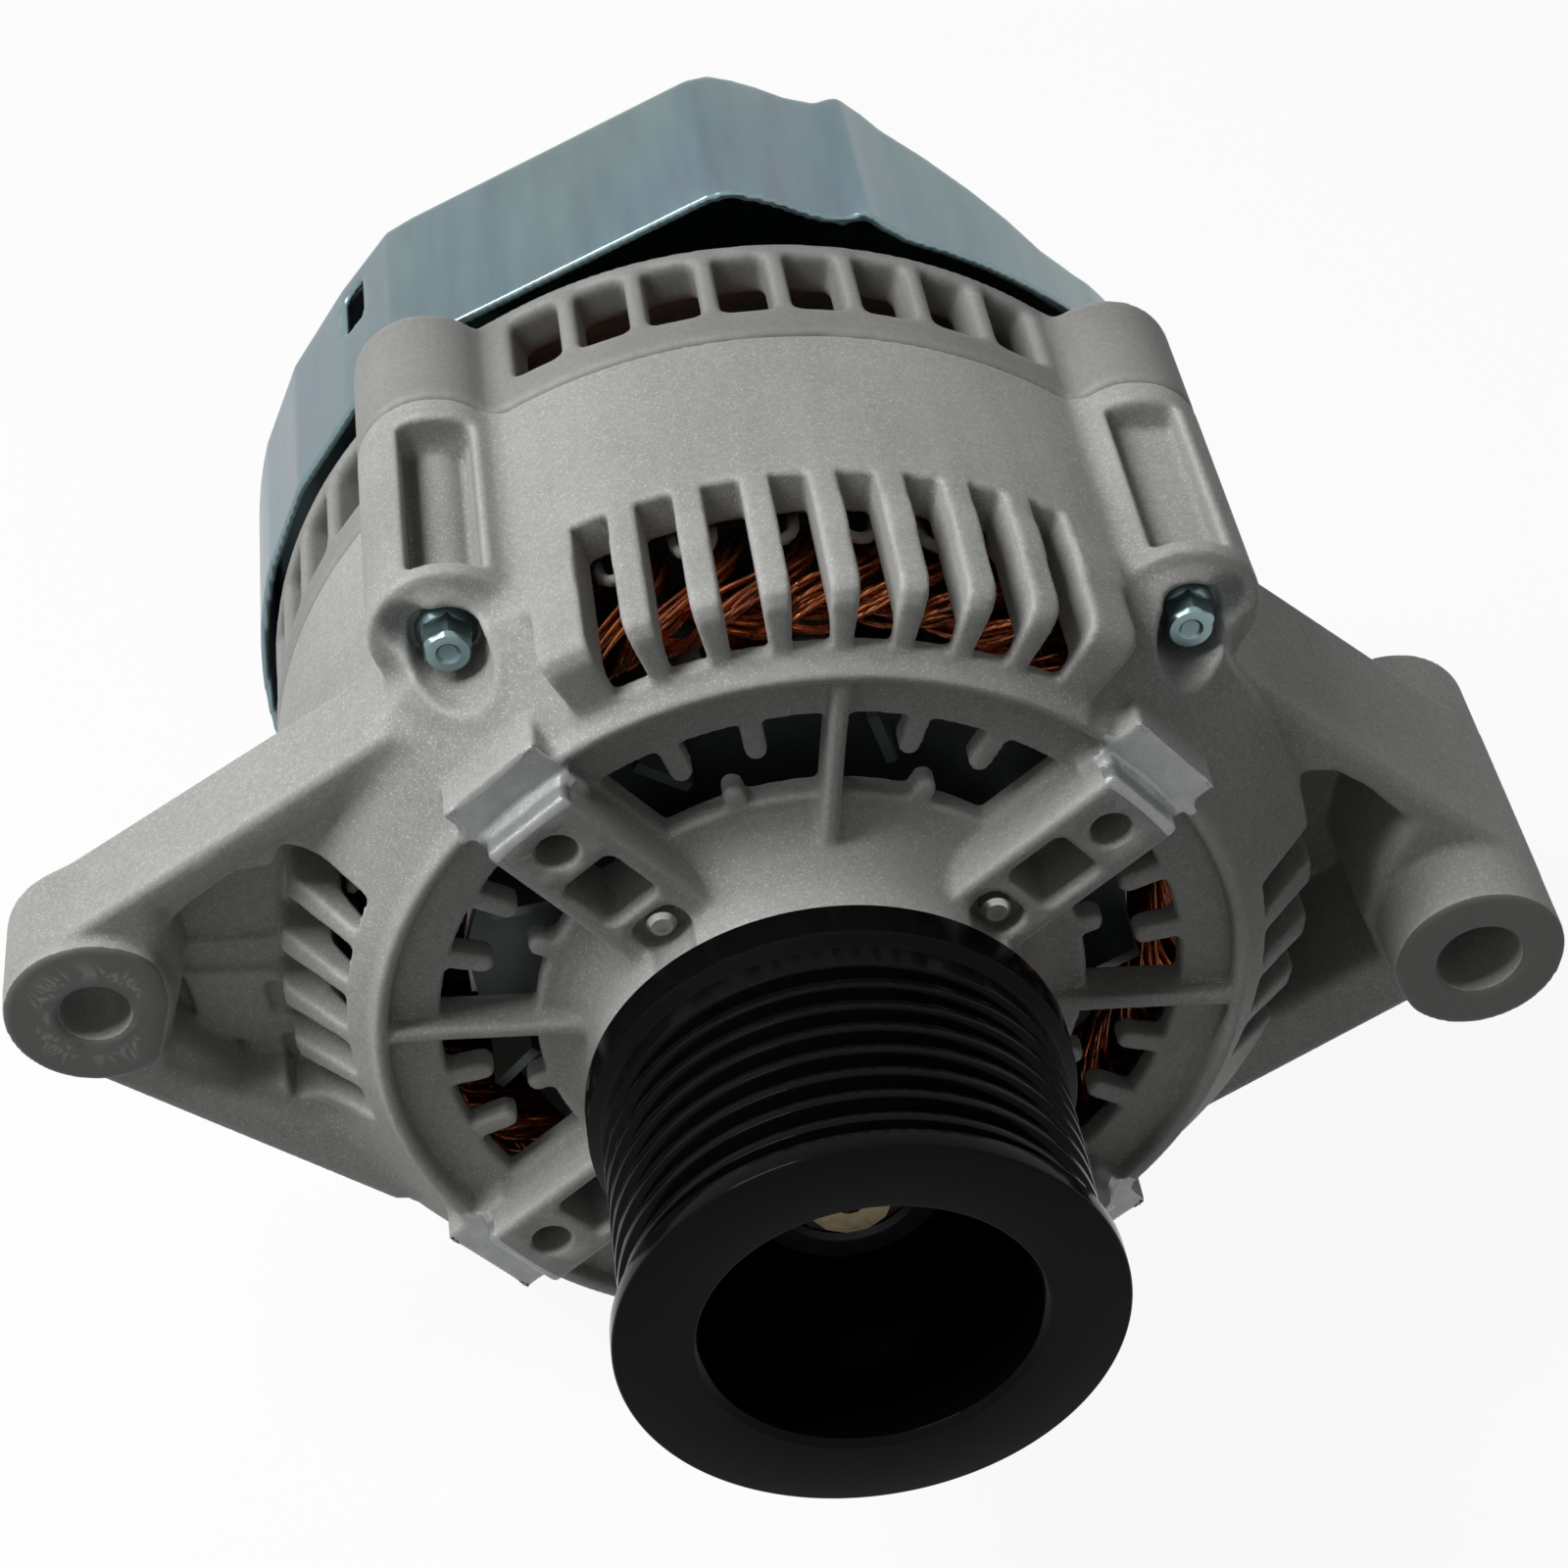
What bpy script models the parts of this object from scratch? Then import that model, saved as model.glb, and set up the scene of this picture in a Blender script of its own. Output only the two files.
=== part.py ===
"""Belt-driven alternator with a vented cast drive-end bracket and an eight-groove pulley.

The shaft lies along Y with the pulley towards -Y. The origin is the centre of the
flat back of the rear cover. Stations are distances behind the pulley's front face.
"""
from math import acos, asin, atan2, cos, degrees, hypot, pi, radians, sin, sqrt, tan

import bmesh
import bpy
from mathutils import Matrix, Vector

# Clearances
GAP = 0.0003
AIR_GAP = 0.0006
RUN_GAP = 0.0015
OVERCUT = 0.0010

# Sides of round pieces
ROUND = 36
FINE = 24
MEDIUM = 12
ROTOR_SIDES = 16
SMALL = 10
TINY = 8
EAR_SIDES = 8

# Pulley
PULLEY_LENGTH = 0.0395
FLANGE_RADIUS = 0.0297
FLANGE_CHAMFER = 0.0008
GROOVES = 8
GROOVE_PITCH = 0.00356
GROOVE_DEPTH = 0.0031
GROOVE_FLANK = 20.0
CREST_DROP = 0.0015
FRONT_LAND = 0.00256
REAR_BAND = 0.0060
RECESS_RADIUS = 0.01955
PULLEY_WEB = 0.0060

# Shaft and what it carries
THREAD_RADIUS = 0.0080
THREAD_TIP_RADIUS = 0.0050
CENTRE_HOLE_RADIUS = 0.00175
CENTRE_HOLE_DEPTH = 0.0050
SHAFT_TIP = 0.0197
SHAFT_RADIUS = 0.0085
ROTOR_SEAT_RADIUS = 0.0100
REAR_SEAT_RADIUS = 0.0072
SLIP_SEAT_RADIUS = 0.0050
NUT_FLATS = 0.0240
NUT_HEIGHT = 0.0110
SPACER_RADIUS = 0.0125
SPACER_LENGTH = 0.0039

# Bearings
FRONT_BEARING_RADIUS = 0.0235
FRONT_BEARING_WIDTH = 0.0140
FRONT_INNER_RADIUS = 0.0123
REAR_BEARING_RADIUS = 0.0175
REAR_BEARING_WIDTH = 0.0110
REAR_INNER_RADIUS = 0.0100
SEAL_GAP = 0.0006

# Drive-end bracket
BODY_RADIUS = 0.0655
CORE_SEAT_WALL = 0.0044
CAVITY_STEP = 0.0020
CAVITY_RAMP = 0.0065
BODY_END = 0.1049
SHOULDER = 0.0645
RIM_FACE = 0.0506
RIM_SETBACK = 0.01284
RIM_RADIUS = BODY_RADIUS - RIM_SETBACK
RIM_WIDTH = 0.0025
RIM_BACK = 0.0530
FLOOR_FACE = 0.0535
FLOOR_THICKNESS = 0.0035
HUB_LIP = 0.0027
HUB_FACE = PULLEY_LENGTH + GAP + SPACER_LENGTH - HUB_LIP
HUB_TOP_RADIUS = 0.0270
HUB_RADIUS = 0.0335
HUB_CONE = 0.0060
HOOD_CORNER = 0.0040
HOOD_HALF_ANGLE = 32.5
HOOD_WALL = 0.0030
VENT_WIDTH = 0.00435
VENT_PITCH = 7.1
SIDE_VENT_PITCH = 8.0
VENTS = 8
VENT_END = 0.0755
VENT_REACH = 0.0030
HOOD_SIDE_ANGLE = 3.0
LEFT_VENTS = 5
RIGHT_VENTS = 4

# Front face arms, ribs and comb openings
ARM_ANGLES = (45.0, 135.0, 225.0, 315.0)
ARM_FACE = 0.0465
ARM_HALF_WIDTH = 0.0062
ARM_SETBACK = 0.00146
ARM_END_RADIUS = RIM_RADIUS - ARM_SETBACK
ARM_HOLE_RADIUS = 0.0027
ARM_HOLE_SETBACK = 0.0047
ARM_HOLE_CIRCLE = ARM_END_RADIUS - ARM_HOLE_SETBACK
ARM_WINDOW_START = 0.0345
ARM_WINDOW_LENGTH = 0.0085
ARM_WINDOW_HALF = 0.0036
ARM_FLOOR = 0.0020
LAND_FACE = 0.0501
LAND_SETBACK = 0.0080
LAND_RADIUS = BODY_RADIUS - LAND_SETBACK
LAND_LAP = 0.0010
LAND_HALF_WIDTH = 0.0070
RIB_HALF_WIDTH = 0.0012
RIB_FACE = 0.0512
COMB_RIM = 0.00586
COMB_OUTER_RADIUS = RIM_RADIUS - COMB_RIM
COMB_HUB = 0.0007
COMB_INNER_RADIUS = HUB_RADIUS + COMB_HUB
COMB_MARGIN = 0.0006
TOOTH_ANGLES = (12.5, 25.0)
TOOTH_LENGTH = 0.0056
TOOTH_TIP_RADIUS = COMB_OUTER_RADIUS - TOOTH_LENGTH
TOOTH_HALF_WIDTH = 0.0014
STUB_ANGLE = 18.5
STUB_LENGTH = 0.0043
STUB_TIP_RADIUS = COMB_INNER_RADIUS + STUB_LENGTH

# Through bolts and their bosses
BOLT_ANGLE = 47.355
BOLT_SETBACK = 0.00011
BOLT_CIRCLE = BODY_RADIUS - BOLT_SETBACK
BOLT_X = BOLT_CIRCLE * cos(radians(BOLT_ANGLE))
BOLT_Z = BOLT_CIRCLE * sin(radians(BOLT_ANGLE))
BOLT_RADIUS = 0.0025
BOLT_SEAT = 0.0705
LOWER_BOLT_DROP = 0.0085
BOLT_HEAD_FLATS = 0.0066
BOLT_HEAD_HEIGHT = 0.0036
BOLT_FLANGE_RADIUS = 0.0042
BOLT_FLANGE_HEIGHT = 0.0012
BOSS_RADIUS = 0.0094
BOSS_FRONT = 0.0625
BOSS_BACK = 0.1245
COUNTERBORE_RADIUS = 0.0052
LOWER_BOSS_DROP = 0.0115
CHANNEL_FRONT = 0.0005
CHANNEL_LIP = 0.0040
CHANNEL_HALF_WIDTH = 0.0039
FACET_HALF_WIDTH = 0.0048
FACET_LIFT = 0.0042
RIDGE_WALL = 0.0009
SCOOP_SHIFT = 0.0052
SCOOP_LIFT = 0.0026
SCOOP_RADIUS = 0.0034
BOLT_END_WALL = 0.0020

# Ears
LEFT_EAR_REACH = 0.0227
LEFT_EAR_X = -(BODY_RADIUS + LEFT_EAR_REACH)
LEFT_EAR_Z = -0.0015
LEFT_EAR_RADIUS = 0.0112
LEFT_EAR_FACE = 0.0590
LEFT_EAR_THICKNESS = 0.0160
LEFT_HOLE_RADIUS = 0.0043
LEFT_POCKET_FLOOR = 0.0040
RIGHT_EAR_REACH = 0.0213
RIGHT_EAR_X = BODY_RADIUS + RIGHT_EAR_REACH
RIGHT_EAR_Z = -0.0007
RIGHT_EAR_RADIUS = 0.0112
RIGHT_EAR_FACE = 0.0567
RIGHT_EAR_END = 0.1070
RIGHT_ARM_FRONT = 0.0665
RIGHT_ARM_BACK = 0.0960
RIGHT_HOLE_RADIUS = 0.0055
RIGHT_POCKET_FLOOR = 0.0090
EAR_ROOT_ANGLE = 37.22
EAR_ROOT_SETBACK = 0.0002
EAR_ROOT_X = (BODY_RADIUS - EAR_ROOT_SETBACK) * cos(radians(EAR_ROOT_ANGLE))
EAR_ROOT_Z = (BODY_RADIUS - EAR_ROOT_SETBACK) * sin(radians(EAR_ROOT_ANGLE))
EAR_POCKET_WALL = 0.0015
EAR_POCKET_RIM = 0.0062
EAR_POCKET_REACH = 0.0070

# Stator
CORE_START = 0.0800
CORE_LENGTH = 0.0320
CORE_RADIUS = BODY_RADIUS - CORE_SEAT_WALL - GAP
CORE_BACK = 0.0071
STATOR_SLOTS = 36
SLOT_WIDTH = 0.0034
SLOT_DEPTH = 0.0105
OVERHANG_LIP = 0.0034
OVERHANG_SETBACK = 0.0046
FRONT_OVERHANG = 0.0170
REAR_OVERHANG = 0.0140
OVERHANG_LIFT = 0.0003

# Rotor
ROTOR_RADIUS = CORE_RADIUS - CORE_BACK - SLOT_DEPTH - AIR_GAP
POLES = 6
POLE_DISC = 0.0105
POLE_ROOT_HALF = 0.0088
POLE_TIP_HALF = 0.0040
POLE_TIP_GAP = 0.0050
POLE_TIP_THICKNESS = 0.0040
POLE_NECK_DEPTH = 0.0126
POLE_NECK_RADIUS = ROTOR_RADIUS - POLE_NECK_DEPTH
COIL_DEPTH = 0.0101
COIL_RADIUS = ROTOR_RADIUS - COIL_DEPTH
OVERHANG_INNER = ROTOR_RADIUS + OVERHANG_LIP
OVERHANG_OUTER = CORE_RADIUS - OVERHANG_SETBACK
COIL_BORE = 0.0200
FAN_THICKNESS = 0.0014
FAN_BLADES = 9
FAN_SETBACK = 0.0001
FAN_BLADE_LENGTH = 0.0075
FAN_OUTER_RADIUS = ROTOR_RADIUS - FAN_SETBACK
FAN_INNER_RADIUS = FAN_OUTER_RADIUS - FAN_BLADE_LENGTH
FRONT_BLADE = 0.0080
BLADE_LEAN = 32.0

# Rear bracket
REAR_BAND_END = 0.1115
WINDOW_END = 0.1240
WINDOW_PITCH = 8.1
WINDOWS = 8
SIDE_WINDOWS = 9
WINDOW_RIB_HALF = 0.0014
LINTEL_SETBACK = 0.0030
LINTEL_RADIUS = BODY_RADIUS - LINTEL_SETBACK
LINTEL_END = 0.1280
REAR_SHOULDER_SETBACK = 0.0095
REAR_SHOULDER_RADIUS = BODY_RADIUS - REAR_SHOULDER_SETBACK
REAR_PLATE_FACE = 0.1355
REAR_PLATE_THICKNESS = 0.0040
REAR_HUB_RADIUS = 0.0215
REAR_HUB_LIP = 0.0011
REAR_RACE_LIP = 0.0042
REAR_VENT_START = 0.0270
REAR_VENT_MARGIN = 0.0140
REAR_VENTS = 10
REAR_VENT_HALF = 0.0030

# Rear cover
COVER_FRONT = LINTEL_END
COVER_SHEET = 0.0012
COVER_OVERHANG = 0.0020
COVER_FOOT = 0.0010
COVER_RADIUS = BODY_RADIUS + COVER_OVERHANG
COVER_BOTTOM = COVER_RADIUS - COVER_FOOT
COVER_BACK_CLEAR = 0.0015
COVER_FOLD_ANGLE = 131.0
COVER_CREASE_ANGLE = 78.0
COVER_CREASE = 0.0022
COVER_CREASE_LEAD = 1.2
COVER_CREASE_SWEEP = 4.0
COVER_LUG_X = -0.0052
COVER_LUG_HEIGHT = 0.0047
COVER_LUG_Z = COVER_RADIUS + COVER_LUG_HEIGHT
COVER_LUG_WIDTH = 0.0065
COVER_LUG_ROUND = 0.0026
COVER_LUG_FALL = 0.0016
COVER_SLOPE_START = 0.0150
COVER_SLOPE_RUN = 0.0245
COVER_SLOPE_DROP = 0.0180
COVER_STEP_Z = 0.0100
COVER_HOLE_ANGLE = 141.6
COVER_HOLE_AT = 0.0180
COVER_HOLE_LENGTH = 0.0090
COVER_HOLE_HALF = 0.0021
CUT_REACH = 0.0060
COVER_CLEAR = 0.0006
COVER_VENTS = 7
COVER_VENT_MIDDLE = 213.0
COVER_VENT_PITCH = 14.0
COVER_VENT_START = 0.0270
COVER_VENT_END = REAR_SHOULDER_RADIUS - 0.0120
COVER_VENT_HALF = 0.0022

# What the cover hides
PLATE_INNER = 0.0260
PLATE_SETBACK = 0.0110
PLATE_OUTER = REAR_SHOULDER_RADIUS - PLATE_SETBACK
PLATE_THICKNESS = 0.0025
PLATE_START = 120.0
PLATE_SWEEP = 180.0
PLATE_SPACING = 0.0068
INSULATOR_RADIUS = 0.0035
DIODE_RADIUS = 0.0050
DIODE_HEIGHT = 0.0045
DIODES_EACH = 3
TERMINAL_ANGLE = 143.0
TERMINAL_SETBACK = 0.0070
TERMINAL_CIRCLE = PLATE_OUTER - TERMINAL_SETBACK
TERMINAL_RADIUS = 0.0040
TERMINAL_OUT = 0.0200
TERMINAL_FOOT = 0.0020
BUSH_RADIUS = 0.0080
BUSH_NECK = 0.0058
BUSH_OUT = 0.0030
TERMINAL_NUT_FLATS = 0.0130
TERMINAL_NUT_HEIGHT = 0.0065
STUD_SETBACK = 0.0048
STUD_CIRCLE = REAR_SHOULDER_RADIUS - STUD_SETBACK
STUD_ANGLES = (30.0, 150.0, 270.0)
STUD_RADIUS = 0.0036
STUD_THREAD = 0.0025
STUD_OUT = 0.0065
STUD_NUT_FLATS = 0.0080
STUD_NUT_HEIGHT = 0.0040
SLEEVE_LEAD = 0.0013
SLEEVE_LENGTH = 0.0110
SLEEVE_WALL = 0.0007
RING_RADIUS = 0.0077
RING_WIDTH = 0.0040
RING_SPACING = 0.0060
BRUSH_X = 0.0065
BRUSH_Y = 0.0040
BRUSH_LENGTH = 0.0120
BRUSH_TRAVEL = 0.0040
SPRING_SOLID = 0.0040
HOLDER_WALL = 0.0010
HOLDER_LIFT = 0.0025
SPRING_LENGTH = BRUSH_TRAVEL + SPRING_SOLID
SPRING_RADIUS = 0.0017
SPRING_WIRE = 0.0003
SPRING_TURNS = 3
SPRING_SIDES = 6
REGULATOR_SIZE = (0.0240, 0.0110, 0.0340)
REGULATOR_SETBACK = 0.0180
REGULATOR_DROP = 0.0100
SOCKET_SIZE = (0.0130, 0.0220)
SOCKET_WALL = 0.0015
SOCKET_FLOOR = 0.0030
SOCKET_OUT = 0.0040
RETAINER_RADIUS = 0.0315
RETAINER_BORE = 0.0165
RETAINER_THICKNESS = 0.0020
RETAINER_SCREW_CIRCLE = 0.0285
RETAINER_SCREW_RADIUS = 0.0022
RETAINER_HEAD_RADIUS = 0.0038
RETAINER_HEAD_HEIGHT = 0.0022
RETAINER_SCREW_DEPTH = 0.0080

# Whole length, from the pulley's front face to the flat back of the cover
REAR_HUB_END = REAR_PLATE_FACE - REAR_PLATE_THICKNESS + REAR_BEARING_WIDTH + REAR_HUB_LIP + 2 * GAP
BRUSH_GEAR_END = REAR_HUB_END + SLEEVE_LEAD + (SLEEVE_LENGTH + RING_SPACING + BRUSH_Y) / 2 + GAP + HOLDER_WALL
LENGTH = BRUSH_GEAR_END + COVER_BACK_CLEAR + COVER_SHEET

CAST = ((0.60, 0.60, 0.58, 1.0), 0.55, 0.85)
CAST_DARK = ((0.50, 0.50, 0.49, 1.0), 0.50, 0.85)
ZINC = ((0.62, 0.70, 0.76, 1.0), 0.30, 0.95)
BLACK_PAINT = ((0.015, 0.015, 0.016, 1.0), 0.28, 0.0)
STEEL = ((0.55, 0.55, 0.55, 1.0), 0.35, 1.0)
DARK_STEEL = ((0.10, 0.10, 0.11, 1.0), 0.45, 0.9)
COPPER = ((0.62, 0.22, 0.08, 1.0), 0.30, 0.9)
PLASTIC = ((0.03, 0.03, 0.035, 1.0), 0.55, 0.0)
CARBON = ((0.05, 0.05, 0.05, 1.0), 0.70, 0.1)
ALUMINIUM = ((0.70, 0.71, 0.72, 1.0), 0.40, 1.0)


def at(station):
    """Y of a station measured back from the pulley's front face."""
    return station - LENGTH


def clear_scene():
    for obj in list(bpy.data.objects):
        bpy.data.objects.remove(obj)


def material(name, finish):
    colour, roughness, metallic = finish
    mat = bpy.data.materials.new(name)
    mat.use_nodes = True
    shader = mat.node_tree.nodes["Principled BSDF"]
    shader.inputs["Base Color"].default_value = colour
    shader.inputs["Roughness"].default_value = roughness
    shader.inputs["Metallic"].default_value = metallic
    return mat


def from_bmesh(name, mesh):
    bmesh.ops.remove_doubles(mesh, verts=mesh.verts, dist=1e-7)
    bmesh.ops.recalc_face_normals(mesh, faces=mesh.faces)
    data = bpy.data.meshes.new(name)
    mesh.to_mesh(data)
    mesh.free()
    obj = bpy.data.objects.new(name, data)
    bpy.context.scene.collection.objects.link(obj)
    return obj


def finish(obj, look, smooth=30.0):
    obj.data.materials.clear()
    obj.data.materials.append(material(obj.name + "_finish", look))
    obj.data.shade_smooth()
    obj.data.set_sharp_from_angle(angle=radians(smooth))
    return obj


def bake(obj):
    depsgraph = bpy.context.evaluated_depsgraph_get()
    data = bpy.data.meshes.new_from_object(obj.evaluated_get(depsgraph))
    obj.modifiers.clear()
    old = obj.data
    obj.data = data
    bpy.data.meshes.remove(old)


def boolean(target, operand, operation):
    modifier = target.modifiers.new(operation.lower(), "BOOLEAN")
    modifier.operation = operation
    modifier.solver = "EXACT"
    modifier.object = operand
    bake(target)
    bpy.data.objects.remove(operand)


def unite(target, *others):
    for other in others:
        boolean(target, other, "UNION")


def cut(target, *others):
    for other in others:
        boolean(target, other, "DIFFERENCE")


def group(name, pieces):
    """Separate solids that share one object."""
    mesh = bmesh.new()
    for piece in pieces:
        piece.data.transform(piece.matrix_basis)
        mesh.from_mesh(piece.data)
        bpy.data.objects.remove(piece)
    data = bpy.data.meshes.new(name)
    mesh.to_mesh(data)
    mesh.free()
    obj = bpy.data.objects.new(name, data)
    bpy.context.scene.collection.objects.link(obj)
    return obj


def turned(name, profile, segments=ROUND, start=0.0, sweep=360.0, x=0.0, z=0.0):
    """Solid of revolution from (radius, station) points, about the shaft or a parallel axis.

    A profile off the axis is a closed outline; one that touches it starts and ends there.
    """
    mesh = bmesh.new()
    full = sweep >= 360.0
    touches = profile[0][0] == 0.0
    steps = segments if full else segments + 1
    rings = []
    for radius, station in profile:
        ring = []
        for k in range(1 if radius == 0.0 else steps):
            angle = radians(start + sweep * k / segments)
            ring.append(mesh.verts.new((x + radius * cos(angle), at(station), z + radius * sin(angle))))
        rings.append(ring)
    pairs = list(zip(rings, rings[1:]))
    if not touches:
        pairs.append((rings[-1], rings[0]))
    for low, high in pairs:
        for k in range(segments):
            after = (k + 1) % steps
            corners = [low[k % len(low)], low[after % len(low)], high[after % len(high)], high[k % len(high)]]
            corners = list(dict.fromkeys(corners))
            if len(corners) > 2:
                mesh.faces.new(corners)
    if not full:
        mesh.faces.new([ring[0] for ring in rings])
        mesh.faces.new([ring[-1] for ring in rings])
    return from_bmesh(name, mesh)


def prism(name, outline, front, back):
    """Outline of (x, z) points carried from one station to another."""
    mesh = bmesh.new()
    low = [mesh.verts.new((x, at(front), z)) for x, z in outline]
    high = [mesh.verts.new((x, at(back), z)) for x, z in outline]
    mesh.faces.new(low)
    mesh.faces.new(high)
    count = len(outline)
    for k in range(count):
        after = (k + 1) % count
        mesh.faces.new((low[k], low[after], high[after], high[k]))
    return from_bmesh(name, mesh)


def circle(x, z, radius, segments=SMALL, start=0.0, sweep=360.0):
    steps = segments if sweep >= 360.0 else segments + 1
    angles = [radians(start + sweep * k / segments) for k in range(steps)]
    return [(x + radius * cos(a), z + radius * sin(a)) for a in angles]


def disc(name, x, z, radius, front, back, segments=SMALL):
    return prism(name, circle(x, z, radius, segments), front, back)


def hexagon(x, z, flats):
    return circle(x, z, flats / 2 / cos(radians(30.0)), 6, 30.0)


def hex_nut(name, x, z, flats, bore, front, back, segments=SMALL):
    nut = prism(name, hexagon(x, z, flats), front, back)
    cut(nut, disc("nut_bore", x, z, bore, front - GAP, back + GAP, segments))
    return nut


def box(name, low, high):
    """Block between two corners given as (x, station, z)."""
    outline = [(low[0], low[2]), (high[0], low[2]), (high[0], high[2]), (low[0], high[2])]
    return prism(name, outline, low[1], high[1])


def spoke(name, angle, inner, outer, half_width, front, back, shift=0.0):
    """Block that points outward from the shaft at an angle in degrees."""
    along = Vector((cos(radians(angle)), sin(radians(angle))))
    across = Vector((-along.y, along.x))
    corners = [(inner, shift - half_width), (outer, shift - half_width)]
    corners += [(outer, shift + half_width), (inner, shift + half_width)]
    outline = [tuple(along * r + across * w) for r, w in corners]
    return prism(name, outline, front, back)


def polar(angle, radius):
    return radius * cos(radians(angle)), radius * sin(radians(angle))


def groove_profile():
    """Outer outline of the pulley from its front flange to its rear band."""
    crest = FLANGE_RADIUS - CREST_DROP
    root = crest - GROOVE_DEPTH
    land = GROOVE_PITCH / 2 - GROOVE_DEPTH * tan(radians(GROOVE_FLANK))
    band = PULLEY_LENGTH - REAR_BAND
    points = [(FLANGE_RADIUS - FLANGE_CHAMFER, 0.0), (FLANGE_RADIUS, FLANGE_CHAMFER)]
    points.append((FLANGE_RADIUS, FRONT_LAND + land - CREST_DROP * tan(radians(GROOVE_FLANK))))
    for k in range(GROOVES):
        start = FRONT_LAND + k * GROOVE_PITCH
        if k:
            points.append((crest, start + land))
        points.append((root, start + GROOVE_PITCH / 2))
        points.append((crest, start + GROOVE_PITCH - land))
    points += [(crest, band), (FLANGE_RADIUS, band + CREST_DROP / 2)]
    points += [(FLANGE_RADIUS, PULLEY_LENGTH - FLANGE_CHAMFER)]
    points += [(FLANGE_RADIUS - FLANGE_CHAMFER, PULLEY_LENGTH)]
    return points


def pulley():
    web = PULLEY_LENGTH - PULLEY_WEB
    bore = SHAFT_RADIUS + GAP
    inside = [(bore, PULLEY_LENGTH), (bore, web), (RECESS_RADIUS, web), (RECESS_RADIUS, FLANGE_CHAMFER)]
    inside.append((RECESS_RADIUS + FLANGE_CHAMFER, 0.0))
    return finish(turned("pulley", groove_profile() + inside, FINE), BLACK_PAINT)


def rotor_start():
    return HUB_FACE + HUB_LIP + GAP + FRONT_BEARING_WIDTH


def front_fan_back():
    return floor_back() + RUN_GAP + FRONT_BLADE + FAN_THICKNESS


def floor_back():
    return FLOOR_FACE + FLOOR_THICKNESS


def pole_front():
    return front_fan_back() + GAP


def pole_back():
    return 2 * core_middle() - pole_front()


def core_middle():
    return CORE_START + CORE_LENGTH / 2


def rear_bearing_front():
    return REAR_PLATE_FACE - REAR_PLATE_THICKNESS + GAP


def rear_bearing_back():
    return rear_bearing_front() + REAR_BEARING_WIDTH


def rotor_shaft():
    web = PULLEY_LENGTH - PULLEY_WEB
    seat = rotor_start() + GAP
    seat_end = pole_back() + FAN_THICKNESS + 2 * GAP
    slip = rear_bearing_back() + GAP
    tip = REAR_HUB_END + SLEEVE_LEAD + SLEEVE_LENGTH + GAP
    profile = [(0.0, SHAFT_TIP + CENTRE_HOLE_DEPTH), (CENTRE_HOLE_RADIUS, SHAFT_TIP + CENTRE_HOLE_DEPTH)]
    profile += [(CENTRE_HOLE_RADIUS, SHAFT_TIP), (THREAD_TIP_RADIUS, SHAFT_TIP)]
    profile += [(THREAD_RADIUS, SHAFT_TIP + THREAD_RADIUS - THREAD_TIP_RADIUS), (THREAD_RADIUS, web)]
    profile += [(SHAFT_RADIUS, web), (SHAFT_RADIUS, seat), (ROTOR_SEAT_RADIUS, seat)]
    profile += [(ROTOR_SEAT_RADIUS, seat_end), (REAR_SEAT_RADIUS, seat_end), (REAR_SEAT_RADIUS, slip)]
    profile += [(SLIP_SEAT_RADIUS, slip), (SLIP_SEAT_RADIUS, tip), (0.0, tip)]
    return finish(turned("rotor_shaft", profile, MEDIUM), STEEL)


def pulley_nut():
    back = PULLEY_LENGTH - PULLEY_WEB - GAP
    nut = hex_nut("pulley_nut", 0.0, 0.0, NUT_FLATS, THREAD_RADIUS + GAP, back - NUT_HEIGHT, back, MEDIUM)
    return finish(nut, DARK_STEEL)


def ring(name, inner, outer, front, back, segments, look):
    profile = [(inner, front), (outer, front), (outer, back), (inner, back)]
    return finish(turned(name, profile, segments), look)


def pulley_spacer():
    front = PULLEY_LENGTH + GAP
    back = HUB_FACE + HUB_LIP
    return ring("pulley_spacer", SHAFT_RADIUS + GAP, SPACER_RADIUS, front, back, MEDIUM, STEEL)


def bearing(side, bore, inner_radius, radius, front, width):
    """Sealed ball bearing: an inner ring, and an outer ring with its seals."""
    ring(side + "_bearing_inner_ring", bore, inner_radius, front, front + width, MEDIUM, STEEL)
    ring(side + "_bearing_outer_ring", inner_radius + SEAL_GAP, radius, front, front + width, MEDIUM, STEEL)


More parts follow.
